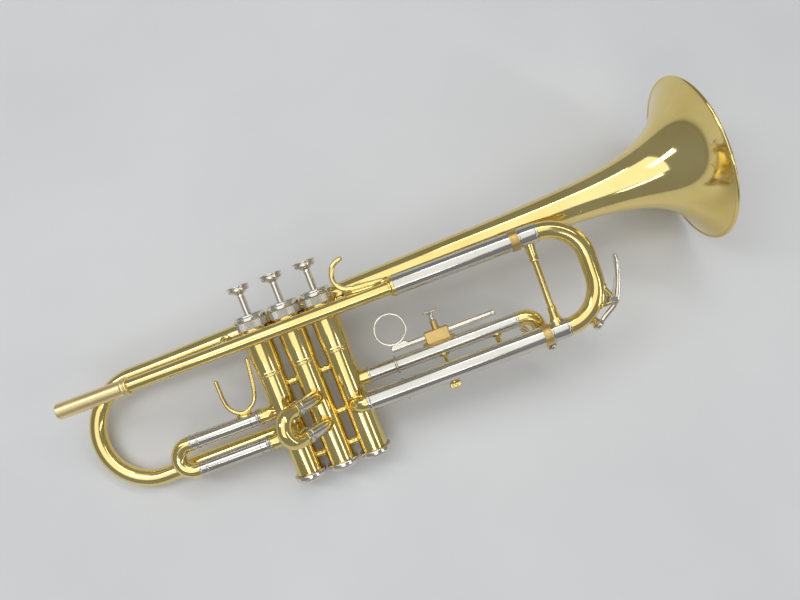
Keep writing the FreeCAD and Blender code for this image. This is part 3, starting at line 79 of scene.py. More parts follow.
def soften(points, fillet, axis=True):
    """Rounds the corners of a closed outline. Corners on the turning axis stay sharp."""
    out = []
    for i, corner in enumerate(points):
        here = Vector(corner)
        back = Vector(points[i - 1]) - here
        ahead = Vector(points[(i + 1) % len(points)]) - here
        if (axis and here.y < 1e-6) or not fillet or back.angle(ahead) > 2.95:
            out.append(here)
            continue
        reach = min(fillet, 0.4 * back.length, 0.4 * ahead.length)
        start = here + back.normalized() * reach
        end = here + ahead.normalized() * reach
        for t in (0.0, 0.3, 0.7, 1.0):
            out.append(start * (1 - t) ** 2 + here * (2 * t * (1 - t)) + end * t * t)
    return out


# ---------------------------------------------------------------- shapes
# Every shape is a list of points and a list of faces, in millimetres in the playing frame.


def between(rings, size):
    """Faces that join each ring of points to the next one."""
    faces = []
    for j in range(rings - 1):
        for i in range(size):
            k = (i + 1) % size
            faces.append((j * size + i, j * size + k, (j + 1) * size + k, (j + 1) * size + i))
    return faces


def lathe(profile, place, steps=96, fillet=0.2, ribs=None):
    """A turned body about local X. ribs is (x0, x1, least radius, count, depth) for a knurled band."""
    ring = soften(profile, fillet)
    points, faces = [], []
    for i in range(steps):
        angle = 2 * math.pi * i / steps
        for x, rad in ring:
            if ribs and ribs[0] < x < ribs[1] and rad > ribs[2]:
                rad -= ribs[4] * (0.5 + 0.5 * math.cos(angle * ribs[3]))
            points.append(place @ Vector((x, rad * math.cos(angle), rad * math.sin(angle))))
    count = len(ring)
    for i in range(steps):
        a, b = i * count, ((i + 1) % steps) * count
        for j in range(count):
            k = (j + 1) % count
            faces.append((a + j, a + k, b + k, b + j))
    return points, faces


def follow(segments, step=4.0):
    """Stations (point, direction, distance) along lines and bends that start at the origin along +X."""
    point, way, run = Vector(), Vector(AX), 0.0
    stations = [(point.copy(), way.copy(), run)]
    for segment in segments:
        if segment[0] == "line":
            count = max(1, int(segment[1] / 12))
            for _ in range(count):
                point = point + way * (segment[1] / count)
                run += segment[1] / count
                stations.append((point.copy(), way.copy(), run))
            continue
        bend, angle, side = segment[1], math.radians(segment[2]), Vector(segment[3])
        centre = point + side * bend
        count = max(4, int(segment[2] / step))
        for k in range(1, count + 1):
            a = angle * k / count
            stations.append(
                (
                    centre - side * (bend * math.cos(a)) + way * (bend * math.sin(a)),
                    way * math.cos(a) + side * math.sin(a),
                    run + bend * a,
                )
            )
        point, way, run = stations[-1]
    return stations


def cylinder_region(point, way, rad):
    point, way = Vector(point), Vector(way).normalized()

    def inside(p):
        rel = p - point
        return (rel - way * rel.dot(way)).length < rad

    return inside


def slide_onto(point, way, inside, back=9.0, reach=9.0):
    """Moves a point along a direction to where it enters a region."""
    step = 0.25
    travel = -back
    while travel < reach and not inside(point + way * travel):
        travel += step
    if travel >= reach:
        return point
    low, high = travel - step, travel
    for _ in range(12):
        middle = (low + high) / 2
        low, high = (low, middle) if inside(point + way * middle) else (middle, high)
    return point + way * high


def tube(segments, rad, wall, place, around=56, meet=None, meet_start=None, step=4.0):
    """A bent tube with a wall. rad is a radius or a function of the distance along it.
    meet is a region that the far end is shaped to, and meet_start one for the near end."""
    stations = follow(segments, step)
    bends = [s for s in segments if s[0] == "bend"]
    normal = AX.cross(Vector(bends[0][3])) if bends else Vector(AY)
    points, faces = [], []
    rings = []
    for inner in (False, True):
        loops = []
        for index, (point, way, run) in enumerate(stations):
            r = (rad(run) if callable(rad) else rad) - (wall if inner else 0.0)
            side = way.cross(normal).normalized()
            up = side.cross(way)
            loop = []
            for i in range(around):
                a = 2 * math.pi * i / around
                p = place @ (point + up * (r * math.cos(a)) + side * (r * math.sin(a)))
                if meet and index == len(stations) - 1:
                    p = slide_onto(p, (place.to_3x3() @ way).normalized(), meet)
                if meet_start and index == 0:
                    p = slide_onto(p, (place.to_3x3() @ way).normalized() * -1, meet_start)
                loop.append(p)
            loops.append(loop)
        rings += loops[::-1] if inner else loops
    for loop in rings:
        points += loop
    total = len(rings)
    for j in range(total):
        a, b = j * around, ((j + 1) % total) * around
        for i in range(around):
            k = (i + 1) % around
            faces.append((a + i, a + k, b + k, b + i))
    return points, faces


def stalk(profile, place, start=None, end=None, around=64):
    """A solid turned post about local X, whose ends are shaped to the surfaces they stand on."""
    points = []
    way = place.to_3x3() @ AX
    rows = [(profile[0][0], 0.0), (profile[0][0], profile[0][1] * 0.5)] + list(profile)
    rows += [(profile[-1][0], profile[-1][1] * 0.5), (profile[-1][0], 0.0)]
    for row, (x, rad) in enumerate(rows):
        for i in range(around):
            a = 2 * math.pi * i / around
            p = place @ Vector((x, rad * math.cos(a), rad * math.sin(a)))
            if start and row <= 2:
                p = slide_onto(p, way * -1, start)
            if end and row >= len(rows) - 3:
                p = slide_onto(p, way, end)
            points.append(p)
    return points, between(len(rows), around)


def spline(points, parts=6):
    """A smooth run through a list of points of any size."""
    out = []
    last = len(points) - 1
    for k in range(last):
        a, b = Vector(points[max(k - 1, 0)]), Vector(points[k])
        c, d = Vector(points[k + 1]), Vector(points[min(k + 2, last)])
        for i in range(parts):
            t = i / parts
            square, cube = a * 2 - b * 5 + c * 4 - d, b * 3 - a - c * 3 + d
            out.append((b * 2 + (c - a) * t + square * t * t + cube * t**3) * 0.5)
    out.append(Vector(points[-1]))
    return out


def bar(points, place=None, normal=AY, around=28, parts=6, square=2.0):
    """A bent bar in one plane with rounded ends, through points (x, z, half width across, half height).
    square above 2 flattens its sides."""
    place = place or Matrix()
    run = spline([Vector(p) for p in points], parts)
    centres = [Vector((p[0], 0, p[1])) for p in run]
    ways = []
    for k in range(len(run)):
        ways.append((centres[min(k + 1, len(run) - 1)] - centres[max(k - 1, 0)]).normalized())
    rows = []
    for turn in (90, 65, 40, 20):
        a = math.radians(turn)
        rows.append(
            (centres[0] - ways[0] * (run[0][3] * math.sin(a)), ways[0], run[0], math.cos(a)),
        )
    rows += [(centres[k], ways[k], run[k], 1.0) for k in range(len(run))]
    for turn in (20, 40, 65, 90):
        a = math.radians(turn)
        rows.append(
            (centres[-1] + ways[-1] * (run[-1][3] * math.sin(a)), ways[-1], run[-1], math.cos(a)),
        )
    out = []
    for centre, way, size, share in rows:
        side = way.cross(normal)
        for i in range(around):
            a = 2 * math.pi * i / around
            c, s = math.cos(a), math.sin(a)
            u = math.copysign(abs(c) ** (2 / square), c) * size[2] * share
            v = math.copysign(abs(s) ** (2 / square), s) * size[3] * share
            out.append(place @ (centre + normal * u + side * v))
    return out, between(len(rows), around)


def prism(outline, thick, place=None, edge=0.25, corner=0.5):
    """A plate with a closed outline in the local XZ plane, thick along local Y, with rounded edges."""
    place = place or Matrix()
    ring = soften(outline, corner, axis=False)
    area = sum(ring[i - 1].x * p.y - p.x * ring[i - 1].y for i, p in enumerate(ring))
    sign = 1 if area > 0 else -1
    count = len(ring)
    points = []
    half = thick / 2
    layers = ((-half, edge), (-half + edge * 0.3, edge * 0.3), (-half + edge, 0.0))
    layers += tuple((-y, inset) for y, inset in layers[::-1])
    for y, inset in layers:
        for i, p in enumerate(ring):
            before = (p - ring[i - 1]).normalized()
            after = (ring[(i + 1) % count] - p).normalized()
            flow = (before + after).normalized()
            inward = Vector((-flow.y, flow.x)) * sign
            q = p + inward * inset
            points.append(place @ Vector((q.x, y, q.y)))
    faces = between(len(layers), count)
    faces.append(tuple(range(count)))
    faces.append(tuple(range((len(layers) - 1) * count, len(layers) * count)))
    return points, faces


def piece(name, shapes, body, look, *nodes):
    """One object made of closed shapes.
    look is a slot and a material, of which the slot is not used, and nodes are the CAD nodes it stands for."""
    slot, material = look
    mesh = bpy.data.meshes.new(name)
    points, faces = [], []
    for shape_points, shape_faces in shapes:
        base = len(points)
        points += [LAY @ p for p in shape_points]
        faces += [tuple(base + i for i in face) for face in shape_faces]
    mesh.from_pydata(points, [], faces)
    work = bmesh.new()
    work.from_mesh(mesh)
    bmesh.ops.remove_doubles(work, verts=work.verts, dist=2e-7)
    bmesh.ops.dissolve_degenerate(work, edges=work.edges, dist=1e-7)
    bmesh.ops.recalc_face_normals(work, faces=work.faces)
    for face in work.faces:
        face.smooth = True
    work.to_mesh(mesh)
    work.free()
    mesh.set_sharp_from_angle(angle=math.radians(50))
    obj = bpy.data.objects.new(name, mesh)
    bpy.context.scene.collection.objects.link(obj)
    normals = obj.modifiers.new("normals", "WEIGHTED_NORMAL")
    normals.keep_sharp = True
    mesh.materials.append(material)
    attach(obj, body)
    if nodes:
        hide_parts(*nodes)
    return obj


def wrap(rows, r_in, r_out, count=14):
    """A curved foot that hugs a tube.
    rows are (point on the tube's axis, direction, outward, half angle)."""
    points = []
    size = 2 * (count + 1)
    for point, way, out, half in rows:
        point, out = Vector(point), Vector(out).normalized()
        side = Vector(way).normalized().cross(out)
        turns = [math.radians(half) * (2 * i / count - 1) for i in range(count + 1)]
        for rad, order in ((r_out, turns), (r_in, turns[::-1])):
            for a in order:
                edge = max(0.0, 1 - max(0.0, abs(a) / math.radians(half) - 0.82) / 0.18)
                r = r_in + (rad - r_in) * (0.35 + 0.65 * math.sqrt(edge))
                points.append(point + (out * math.cos(a) + side * math.sin(a)) * r)
    faces = between(len(rows), size)
    faces.append(tuple(range(size)))
    faces.append(tuple(range((len(rows) - 1) * size, len(rows) * size)))
    return points, faces


def straight_wrap(start, way, out, length, r_in, r_out, wide, narrow):
    """A foot on a straight tube, widest in its middle."""
    rows = []
    for k in range(11):
        t = k / 10
        rows.append(
            (
                Vector(start) + Vector(way) * (length * t),
                way,
                out,
                narrow + (wide - narrow) * math.sin(math.pi * t) ** 0.6,
            ),
        )
    return wrap(rows, r_in, r_out)


def coil(rad, wire, turns, length, place, around=10, per_turn=28):
    """A wound wire about local X."""
    points = []
    total = int(turns * per_turn)
    for j in range(total + 1):
        a = 2 * math.pi * j / per_turn
        out = Vector((0, math.cos(a), math.sin(a)))
        centre = Vector((length * j / total, 0, 0)) + out * rad
        for i in range(around):
            b = 2 * math.pi * i / around
            points.append(place @ (centre + out * (wire * math.cos(b)) + AX * (wire * math.sin(b))))
    faces = between(total + 1, around)
    faces.append(tuple(range(around)))
    faces.append(tuple(range(total * around, (total + 1) * around)))
    return points, faces


# ---------------------------------------------------------------- materials


def start_material(name):
    material = bpy.data.materials.new(name)
    material.use_nodes = True
    nodes, links = material.node_tree.nodes, material.node_tree.links
    shader = nodes["Principled BSDF"]
    coords = nodes.new("ShaderNodeTexCoord")
    return material, nodes, links, shader, coords


def noise_node(nodes, links, source, scale, detail=3.0, stretch=None, rough=0.5):
    if stretch:
        mapping = nodes.new("ShaderNodeMapping")
        mapping.inputs["Scale"].default_value = stretch
        links.new(source, mapping.inputs["Vector"])
        source = mapping.outputs["Vector"]
    noise = nodes.new("ShaderNodeTexNoise")
    noise.inputs["Scale"].default_value = scale
    noise.inputs["Detail"].default_value = detail
    noise.inputs["Roughness"].default_value = rough
    links.new(source, noise.inputs["Vector"])
    return noise.outputs["Fac"]


def spread(nodes, links, source, low, high, start=0.3, end=0.7):
    """Turns a noise value into a number between low and high."""
    remap = nodes.new("ShaderNodeMapRange")
    remap.inputs["From Min"].default_value = start
    remap.inputs["From Max"].default_value = end
    remap.inputs["To Min"].default_value = low
    remap.inputs["To Max"].default_value = high
    links.new(source, remap.inputs["Value"])
    return remap.outputs["Result"]


def tones(nodes, links, source, stops):
    ramp = nodes.new("ShaderNodeValToRGB")
    while len(ramp.color_ramp.elements) < len(stops):
        ramp.color_ramp.elements.new(0.5)
    for element, (place, colour) in zip(ramp.color_ramp.elements, stops):
        element.position = place
        element.color = (*colour, 1.0)
    links.new(source, ramp.inputs["Fac"])
    return ramp.outputs["Color"]


def bumps(nodes, links, shader, layers):
    """layers is a list of (height, distance in metres, strength), each laid over the one before."""
    last = None
    for height, distance, strength in layers:
        bump = nodes.new("ShaderNodeBump")
        bump.inputs["Distance"].default_value = distance
        bump.inputs["Strength"].default_value = strength
        links.new(height, bump.inputs["Height"])
        if last:
            links.new(last, bump.inputs["Normal"])
        last = bump.outputs["Normal"]
    links.new(last, shader.inputs["Normal"])


def metal(name, dark, light, rough, vary, lines, ripple=0.0, coat=None):
    """Polished or satin metal: slow changes of tint, cloudy gloss, polishing lines and ripples."""
    material, nodes, links, shader, coords = start_material(name)
    source = coords.outputs["Object"]
    cloud = noise_node(nodes, links, source, 22.0, 4.0)
    middle = tuple((a + b) / 2 for a, b in zip(dark, light))
    colour = tones(nodes, links, cloud, ((0.3, dark), (0.5, middle), (0.7, light)))
    links.new(colour, shader.inputs["Base Color"])
    smudge = noise_node(nodes, links, source, 75.0, 6.0, rough=0.65)
    links.new(spread(nodes, links, smudge, rough, rough + vary), shader.inputs["Roughness"])
    shader.inputs["Metallic"].default_value = 1.0
    polish = noise_node(nodes, links, source, 60.0, 4.0, stretch=(4.0, 70.0, 70.0))
    wave = noise_node(nodes, links, source, 34.0, 2.0)
    layers = [(polish, 0.0001, lines)]
    if ripple:
        layers.append((wave, 0.001, ripple))
    bumps(nodes, links, shader, layers)
    if coat:
        shader.inputs["Coat Weight"].default_value = coat[0]
        shader.inputs["Coat Roughness"].default_value = coat[1]
        shader.inputs["Coat Tint"].default_value = (*coat[2], 1.0)
    return material


WARM = (1.0, 0.95, 0.82)
lacquer = metal(
    "gold_lacquer",
    dark=(0.76, 0.60, 0.20),
    light=(0.90, 0.74, 0.32),
    rough=0.075,
    vary=0.07,
    lines=0.05,
    ripple=0.02,
    coat=(0.35, 0.04, WARM),
)
bell_lacquer = metal(
    "bell_lacquer",
    dark=(0.77, 0.61, 0.21),
    light=(0.91, 0.75, 0.33),
    rough=0.06,
    vary=0.05,
    lines=0.03,
    ripple=0.015,
    coat=(0.4, 0.03, WARM),
)
satin = metal(
    "satin_brass", (0.60, 0.41, 0.14), (0.75, 0.54, 0.22), rough=0.34, vary=0.14, lines=0.35
)
# A lighter copy of the satin brass for the mouthpiece receiver: its lighter colour is painted light, standing in
# for the window light that the satin finish scatters.
satin_painted_light = metal(
    "satin_painted_light", (0.90, 0.70, 0.34), (0.99, 0.80, 0.42), rough=0.3, vary=0.1, lines=0.15
)
nickel = metal(
    "nickel_silver",
    (0.58, 0.55, 0.48),
    (0.70, 0.67, 0.60),
    rough=0.09,
    vary=0.08,
    lines=0.06,
    ripple=0.02,
)
plate = metal(
    "bright_nickel", (0.70, 0.65, 0.56), (0.82, 0.77, 0.68), rough=0.12, vary=0.09, lines=0.05
)
piston_metal = metal(
    "lapped_alloy", (0.55, 0.54, 0.52), (0.66, 0.65, 0.62), rough=0.24, vary=0.12, lines=0.2
)
wire_metal = metal(
    "spring_wire", (0.48, 0.48, 0.48), (0.60, 0.60, 0.60), rough=0.25, vary=0.1, lines=0.1
)


def cork_material():
    material, nodes, links, shader, coords = start_material("cork")
    source = coords.outputs["Object"]
    grain = nodes.new("ShaderNodeTexVoronoi")
    grain.inputs["Scale"].default_value = 1400.0
    links.new(source, grain.inputs["Vector"])
    speck = noise_node(nodes, links, source, 900.0, 5.0)
    colour = tones(
        nodes,
        links,
        speck,
        ((0.35, (0.30, 0.17, 0.08)), (0.5, (0.52, 0.35, 0.19)), (0.68, (0.66, 0.48, 0.29))),
    )
    links.new(colour, shader.inputs["Base Color"])
    links.new(spread(nodes, links, speck, 0.75, 0.95), shader.inputs["Roughness"])
    bumps(nodes, links, shader, [(grain.outputs["Distance"], 0.0002, 0.5)])
    return material


def pearl_material():
    material, nodes, links, shader, coords = start_material("mother_of_pearl")
    source = coords.outputs["Object"]
    bands = noise_node(nodes, links, source, 160.0, 3.0, stretch=(1.0, 2.5, 1.0))
    colour = tones(
        nodes,
        links,
        bands,
        (
            (0.3, (0.80, 0.74, 0.70)), (0.45, (0.86, 0.85, 0.80)), (0.58, (0.74, 0.82, 0.80)),
            (0.7, (0.88, 0.80, 0.82)),
        ),
    )
    links.new(colour, shader.inputs["Base Color"])
    links.new(spread(nodes, links, bands, 0.16, 0.3), shader.inputs["Roughness"])
    shader.inputs["Coat Weight"].default_value = 0.8
    shader.inputs["Coat Roughness"].default_value = 0.05
    bumps(nodes, links, shader, [(bands, 0.0002, 0.08)])
    return material


def plastic_material():
    material, nodes, links, shader, coords = start_material("guide_plastic")
    source = coords.outputs["Object"]
    cloud = noise_node(nodes, links, source, 300.0, 4.0)
    colour = tones(nodes, links, cloud, ((0.3, (0.78, 0.77, 0.72)), (0.7, (0.86, 0.85, 0.81))))
    links.new(colour, shader.inputs["Base Color"])
    links.new(spread(nodes, links, cloud, 0.4, 0.55), shader.inputs["Roughness"])
    bumps(nodes, links, shader, [(cloud, 0.0001, 0.15)])
    return material


cork = cork_material()
pearl = pearl_material()
guide_plastic = plastic_material()

# A look is a slot of the record and the material that stands for it.
BRASS = ("lacquered_brass", lacquer)
BELL_BRASS = ("lacquered_brass", bell_lacquer)
SATIN = ("satin_brass", satin)
# The receiver's look uses the lighter copy of satin brass, whose colour carries painted light.
RECEIVER = ("satin_brass", satin_painted_light)
NICKEL = ("nickel", nickel)
BRIGHT = ("nickel", plate)
PEARL = ("nickel", pearl)
KEY_WIRE = ("nickel", wire_metal)
SPRING = ("spring_steel", wire_metal)
CORK = ("cork", cork)

CAD_MATERIALS = {
    "lacquered_brass": lacquer,
    "satin_brass": satin,
    "nickel": nickel,
    "piston_metal": piston_metal,
    "spring_steel": wire_metal,
    "guide_plastic": guide_plastic,
    "cork": cork,
}
for part in frame["record"]["subparts"]:
    obj = frame["nodes"][part["node"]]
    obj.data.materials.clear()
    obj.data.materials.append(CAD_MATERIALS[part["material_slot"]])
    for face in obj.data.polygons:
        face.use_smooth = True
    weld = obj.modifiers.new("weld", "WELD")
    weld.merge_threshold = 0.000002
    split = obj.modifiers.new("edges", "EDGE_SPLIT")
    split.split_angle = math.radians(28)


# ---------------------------------------------------------------- places shared by the parts

DOWN = Vector((0, 0, -1))

# mouthpipe, and the lower main tube below it
MAIN_Y, LOW_Z = -17.0, -69.0

# valves: their axes along X, and heights of their parts
VALVES = (143.1, 168.05, 193.0)
CASE_FOOT_Z, FOOT_CAP_Z, TOP_CAP_Z = -107.5, -104.9, 11.05
STEM_Z, BUTTON_Z = 13.03, 31.8
POST_X = 12.475  # from a casing's axis to the middle of the gap beside it
SKIRT_RIBS = (-4.7, 0.8, 11.0, 66, 0.3)
CASE = [cylinder_region((x, 0, 0), AZ, 9.6) for x in VALVES]

# bell: the start of its straight axis, its length and its rise toward the rim
BELL_X, BELL_Y, BELL_Z = 62.0, 19.5, 3.95
BELL_LONG = 417.0
BELL_RISE = math.radians(0.6)
RIM_X, RIM_Y, RIM_BEAD = 417.7, 60.2, 1.3

# slides: the two tubes of each valve slide, the first slide's side shift and the bows
SLIDE_Z = (-54.7, -74.7)
ONE_Y = -5.5
BOW_RAD = 10.0
TUNING_BOW_X = 350.0
ROD_X, ROD_Z = 263.775, -43.75


# ---------------------------------------------------------------- small makers


def pipe(x0, x1, r_in, r_out, place, fillet=0.12):
    return lathe([(x0, r_in), (x0, r_out), (x1, r_out), (x1, r_in)], place, fillet=fillet)


def swell(x0, r0, x1, r1, count=6):
    """Stations of a smooth hollow-sided widening from (x0, r0) to (x1, r1)."""
    out = []
    for i in range(count + 1):
        t = i / count
        if r1 > r0:
            share = 1 - math.sqrt(max(0.0, 1 - t * t))
        else:
            share = math.sqrt(max(0.0, 1 - (1 - t) ** 2))
        out.append((x0 + (x1 - x0) * t, r0 + (r1 - r0) * share))
    return out


def shift(place, x=0.0, y=0.0, z=0.0):
    return place @ Matrix.Translation((x, y, z))


def slotted_head(rad, high, slot, place):
    """A screw head about local X with a slot across its outer face, which is at local X 0."""
    shapes = [
        lathe(
            [(high * 0.45, 0), (high * 0.45, rad - 0.1), (high * 0.6, rad), (high, rad), (high, 0)],
            place,
            64,
            0.08,
        ),
    ]
    for sign in (1, -1):
        edge = [
            (rad * math.cos(math.radians(a)), rad * math.sin(math.radians(a)))
            for a in range(12, 169, 12)
        ]
        half = [(x, sign * max(z, slot)) for x, z in edge]
        turn = Matrix(((0, -1, 0, 0), (1, 0, 0, 0), (0, 0, 1, 0), (0, 0, 0, 1)))
        shapes.append(prism(half, high * 0.5, shift(place, high * 0.25) @ turn, 0.12, 0.1))
    return shapes


# ---------------------------------------------------------------- mouthpipe

pipe_place = aim((0, MAIN_Y, 0), AX)
receiver_line = [
    (0, 4.95), (0, 5.55), (0.5, 5.88), (20.0, 5.8), (47.4, 5.84), (47.9, 6.35), (48.6, 6.52),
    (49.4, 6.35), (49.7, 5.9), (50.1, 5.9), (50.5, 6.35), (51.2, 6.5), (51.9, 6.3), (52.4, 5.6),
    (52.4, 4.73), (24.0, 4.73), (1.2, 4.8),
]
piece(
    "mouthpiece_receiver_body",
    [lathe(receiver_line, pipe_place, fillet=0.18)],
    "horn",
    RECEIVER,
    "mouthpiece_receiver",
)
lead_line = [
    (44.05, 4.2), (44.05, 4.7), (52.6, 4.7), (110.0, 4.85), (180.0, 4.98), (245.1, 5.05),
    (245.1, 4.5),
]
piece("mouthpipe", [lathe(lead_line, pipe_place)], "horn", BRASS, "leadpipe")

ferrule_line = [
    (243.2, 5.0), (243.2, 5.9), (243.6, 6.3), (244.4, 6.3), (244.7, 5.95), (245.1, 6.9),
    (245.5, 7.2), (247.1, 7.2), (247.4, 7.0), (247.4, 6.7), (245.3, 6.7), (245.3, 5.0),
]
piece(
    "mouthpipe_ferrule",
    [lathe(ferrule_line, pipe_place, fillet=0.15)],
    "horn",
    BRASS,
    "leadpipe_ferrule",
)
piece(
    "upper_main_sleeve",
    [pipe(245.3, 336.4, 6.15, 6.75, pipe_place)],
    "horn",
    NICKEL,
    "upper_slide_tube",
)
low_line = [
    (202.05, 6.15), (202.05, 7.05), (202.4, 7.35), (203.9, 7.35), (204.3, 6.75), (336.4, 6.75),
    (336.4, 6.15),
]
piece(
    "lower_main_sleeve",
    [lathe(low_line, shift(pipe_place, z=LOW_Z))],
    "horn",
    NICKEL,
    "lower_slide_tube",
)
bands = []
for z in (0.0, LOW_Z):
    place = shift(pipe_place, z=z)
    bands.append(
        lathe(
            [(331.0, 6.7), (331.0, 7.3), (336.9, 7.3), (336.9, 6.2), (336.45, 6.2), (336.45, 6.7)],
            place,
            fillet=0.22,
        ),
    )
    for x in (331.7, 335.4):
        bands.append(
            lathe([(x, 6.9), (x, 7.42), (x + 0.8, 7.42), (x + 0.8, 6.9)], place, fillet=0.3),
        )
piece("main_slide_bands", bands, "horn", SATIN, "slide_end_bands")

# ---------------------------------------------------------------- valve casings

CASE_LINE = [
    (0, 8.65), (0, 9.75), (77.9, 9.75), (78.1, 10.15), (78.5, 10.25), (78.9, 10.15), (79.2, 9.8),
    (79.9, 9.8), (80.2, 10.15), (80.55, 10.25), (80.9, 10.15), (81.3, 9.95), (86.0, 10.15),
    (92.0, 10.4), (118.5, 10.4), (118.5, 9.95), (122.1, 9.95), (122.1, 9.35), (81.0, 9.35),
    (81.0, 8.65),
]
case_shapes = [[lathe(CASE_LINE, aim((x, 0, CASE_FOOT_Z), AZ), 120, 0.15)] for x in VALVES]


two_place = []
for z in SLIDE_Z:
    one_nipple = aim((126.43, ONE_Y, z), AX)
    case_shapes[0].append(
        tube([("line", 2.5), ("bend", 10.0, 35.0, (0, 1, 0))], 5.3, 0.45, one_nipple, meet=CASE[0]),
    )
    case_shapes[0].append(pipe(126.43, 127.3, 4.9, 5.75, aim((0, ONE_Y, z), AX)))
    three_nipple = aim((207.47, 0, z), AX * -1)
    case_shapes[2].append(tube([("line", 5.6)], 5.55, 0.7, three_nipple, meet=CASE[2]))
    elbow = aim((VALVES[1], -5.0, z), AY * -1)
    elbow_run = [("line", 5.0), ("bend", 8.0, 40.0, (0, -1, 0)), ("line", 1.9)]
    case_shapes[1].append(tube(elbow_run, 5.4, 0.55, elbow, meet_start=CASE[1]))
    last, way, run = follow(elbow_run)[-1]
    two_place.append(aim(elbow @ last, elbow.to_3x3() @ way))
for k in range(3):
    piece("casing_%d" % (k + 1), case_shapes[k], "horn", BRASS, "valve_casing_%d" % (k + 1))

knee = tube(
    [("line", 1.03), ("bend", 8.0, 90.0, (0, -1, 0)), ("line", 0.4)],
    6.1,
    0.55,
    aim((202.03, MAIN_Y, LOW_Z), AX * -1),
    meet=CASE[2],
)
piece("lower_main_elbow", [knee], "horn", BRASS, "lower_elbow")

TOP_LINE = [
    (-4.9, 10.45), (-4.9, 10.9), (-4.6, 11.15), (0.6, 11.15), (0.9, 11.15), (1.1, 11.6),
    (1.5, 11.85), (3.1, 11.85), (3.5, 11.65), (3.8, 11.0), (4.1, 10.75), (4.9, 10.7), (5.3, 10.4),
    (5.5, 9.9), (5.55, 4.4), (5.3, 4.1), (5.3, 3.1), (4.3, 3.1), (4.3, 9.98), (0, 9.98), (0, 10.45),
]
FOOT_LINE = [
    (0, 9.8), (0, 11.2), (0.3, 11.7), (0.7, 11.9), (2.7, 11.9), (3.1, 11.75), (3.4, 11.4),
    (3.9, 11.3), (4.7, 10.85), (5.5, 9.8), (6.1, 8.1), (6.35, 6.2), (6.4, 4.6), (6.0, 4.0),
    (5.9, 2.0), (6.0, 1.5), (3.5, 1.5), (3.5, 8.85), (2.7, 9.8),
]
piece(
    "top_cap_set",
    [lathe(TOP_LINE, aim((x, 0, TOP_CAP_Z), AZ), 396, 0.12, SKIRT_RIBS) for x in VALVES],
    "horn",
    BRIGHT,
    "top_caps",
)
piece(
    "bottom_cap_set",
    [lathe(FOOT_LINE, aim((x, 0, FOOT_CAP_Z), DOWN), 120, 0.2) for x in VALVES],
    "horn",
    BRIGHT,
    "bottom_caps",
)
post_line = swell(-3.4, 3.4, -2.2, 2.6)
post_line += [(-0.9, 2.6), (-0.8, 3.1), (-0.4, 3.35), (0.4, 3.35), (0.8, 3.1), (0.9, 2.6)]
post_line += swell(2.2, 2.6, 3.4, 3.4)
posts = []
for gap, z in ((0, -39.2), (1, -39.4), (1, -71.4), (0, -95.6), (1, -95.6)):
    centre = aim((VALVES[gap] + POST_X, 0, z), AX)
    posts.append(stalk(post_line, centre, CASE[gap], CASE[gap + 1]))
piece("casing_post_set", posts, "horn", BRASS, "casing_braces")

for k, x in enumerate(VALVES, start=1):
    body = "valve_%d" % k
    stem = [
        (0, 0), (0, 5.4), (1.9, 5.4), (1.9, 2.7), (17.3, 2.7), (18.0, 2.5), (18.74, 2.5),
        (18.74, 0),
    ]
    piece(
        "valve_stem_%d" % k,
        [lathe(stem, aim((x, 0, STEM_Z), AZ), 64)],
        body,
        BRIGHT,
        "stem_%d" % k,
    )
    top = aim((x, 0, BUTTON_Z), AZ)
    button = [
        (0, 0), (0, 3.5), (0.5, 3.9), (1.1, 4.9), (1.5, 6.4), (1.9, 7.3), (2.5, 7.75), (3.1, 7.85),
        (3.7, 7.75), (4.2, 7.3), (4.55, 7.3), (4.8, 7.9), (5.1, 8.3), (5.5, 8.4), (5.9, 8.2),
        (6.05, 7.5), (5.8, 7.0), (5.2, 6.8), (5.1, 0),
    ]
    piece("finger_button_%d" % k, [lathe(button, top, 96, 0.15)], body, BRIGHT, "button_%d" % k)
    inlay = [(5.0, 0), (5.0, 6.9), (5.5, 6.8), (5.75, 5.8), (5.9, 3.6), (5.95, 0)]
    piece("button_pearl_%d" % k, [lathe(inlay, top, 96, 0.2)], body, PEARL)
    wound = [coil(5.9, 0.45, 8, 34.2, aim((x, 0, -24.4), AZ))]
    spring = piece("piston_spring_%d" % k, wound, "horn", SPRING, "valve_spring_%d" % k)
    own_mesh(spring)

# ---------------------------------------------------------------- bell

bell_way = Vector((math.cos(BELL_RISE), 0, math.sin(BELL_RISE)))
bell_place = aim((BELL_X, BELL_Y, BELL_Z), bell_way)


def horn(x):
    """Outer radius of the bell, x mm behind its rim: a slow taper plus a flare near the rim."""
    return 13.6 - 0.0176 * x + 46.6 * (102.0 / (x + 102.0)) ** 4.7


behind = [BELL_LONG * (1 - t / 40) ** 1.9 for t in range(40)]
behind = [x for x in behind if x > 1.0] + [0.65, 0.365]
skin = [Vector((BELL_LONG - x, horn(x))) for x in behind]
lining = []
for i, p in enumerate(skin):
    flow = (skin[min(i + 1, len(skin) - 1)] - skin[max(i - 1, 0)]).normalized()
    lining.append(p + Vector((flow.y, -flow.x)) * 0.5)
rim = []
for i in range(31):
    a = math.radians(208.0 - (208.0 + 114.0) * i / 30)
    rim.append(Vector((RIM_X + RIM_BEAD * math.cos(a), RIM_Y + RIM_BEAD * math.sin(a))))
bell_line = [(p.x, p.y) for p in skin + rim + lining[::-1]]
piece("bell", [lathe(bell_line, bell_place, 192, 0.0)], "horn", BELL_BRASS, "bell_flare")
lean = math.radians(8.9)
bow_place = aim(bell_place @ Vector((-0.05, 0, 0)), bell_way * -1)
bow_end = 20.1 + math.pi * 38.7
bell_bow = tube(
    [
        ("line", 20.1), ("bend", 38.7, 180.0, (0, math.sin(lean), -math.cos(lean))), ("line", 84.0),
        ("bend", 14.0, 40.0, (0, 1, 0)),
    ],
    lambda run: 6.2 - 0.45 * max(0.0, run - bow_end) / 96.0,
    0.5,
    bow_place,
    72,
    meet=CASE[0],
    step=3.0,
)
piece("bell_crook", [bell_bow], "horn", BRASS, "bell_bow")
posts = []
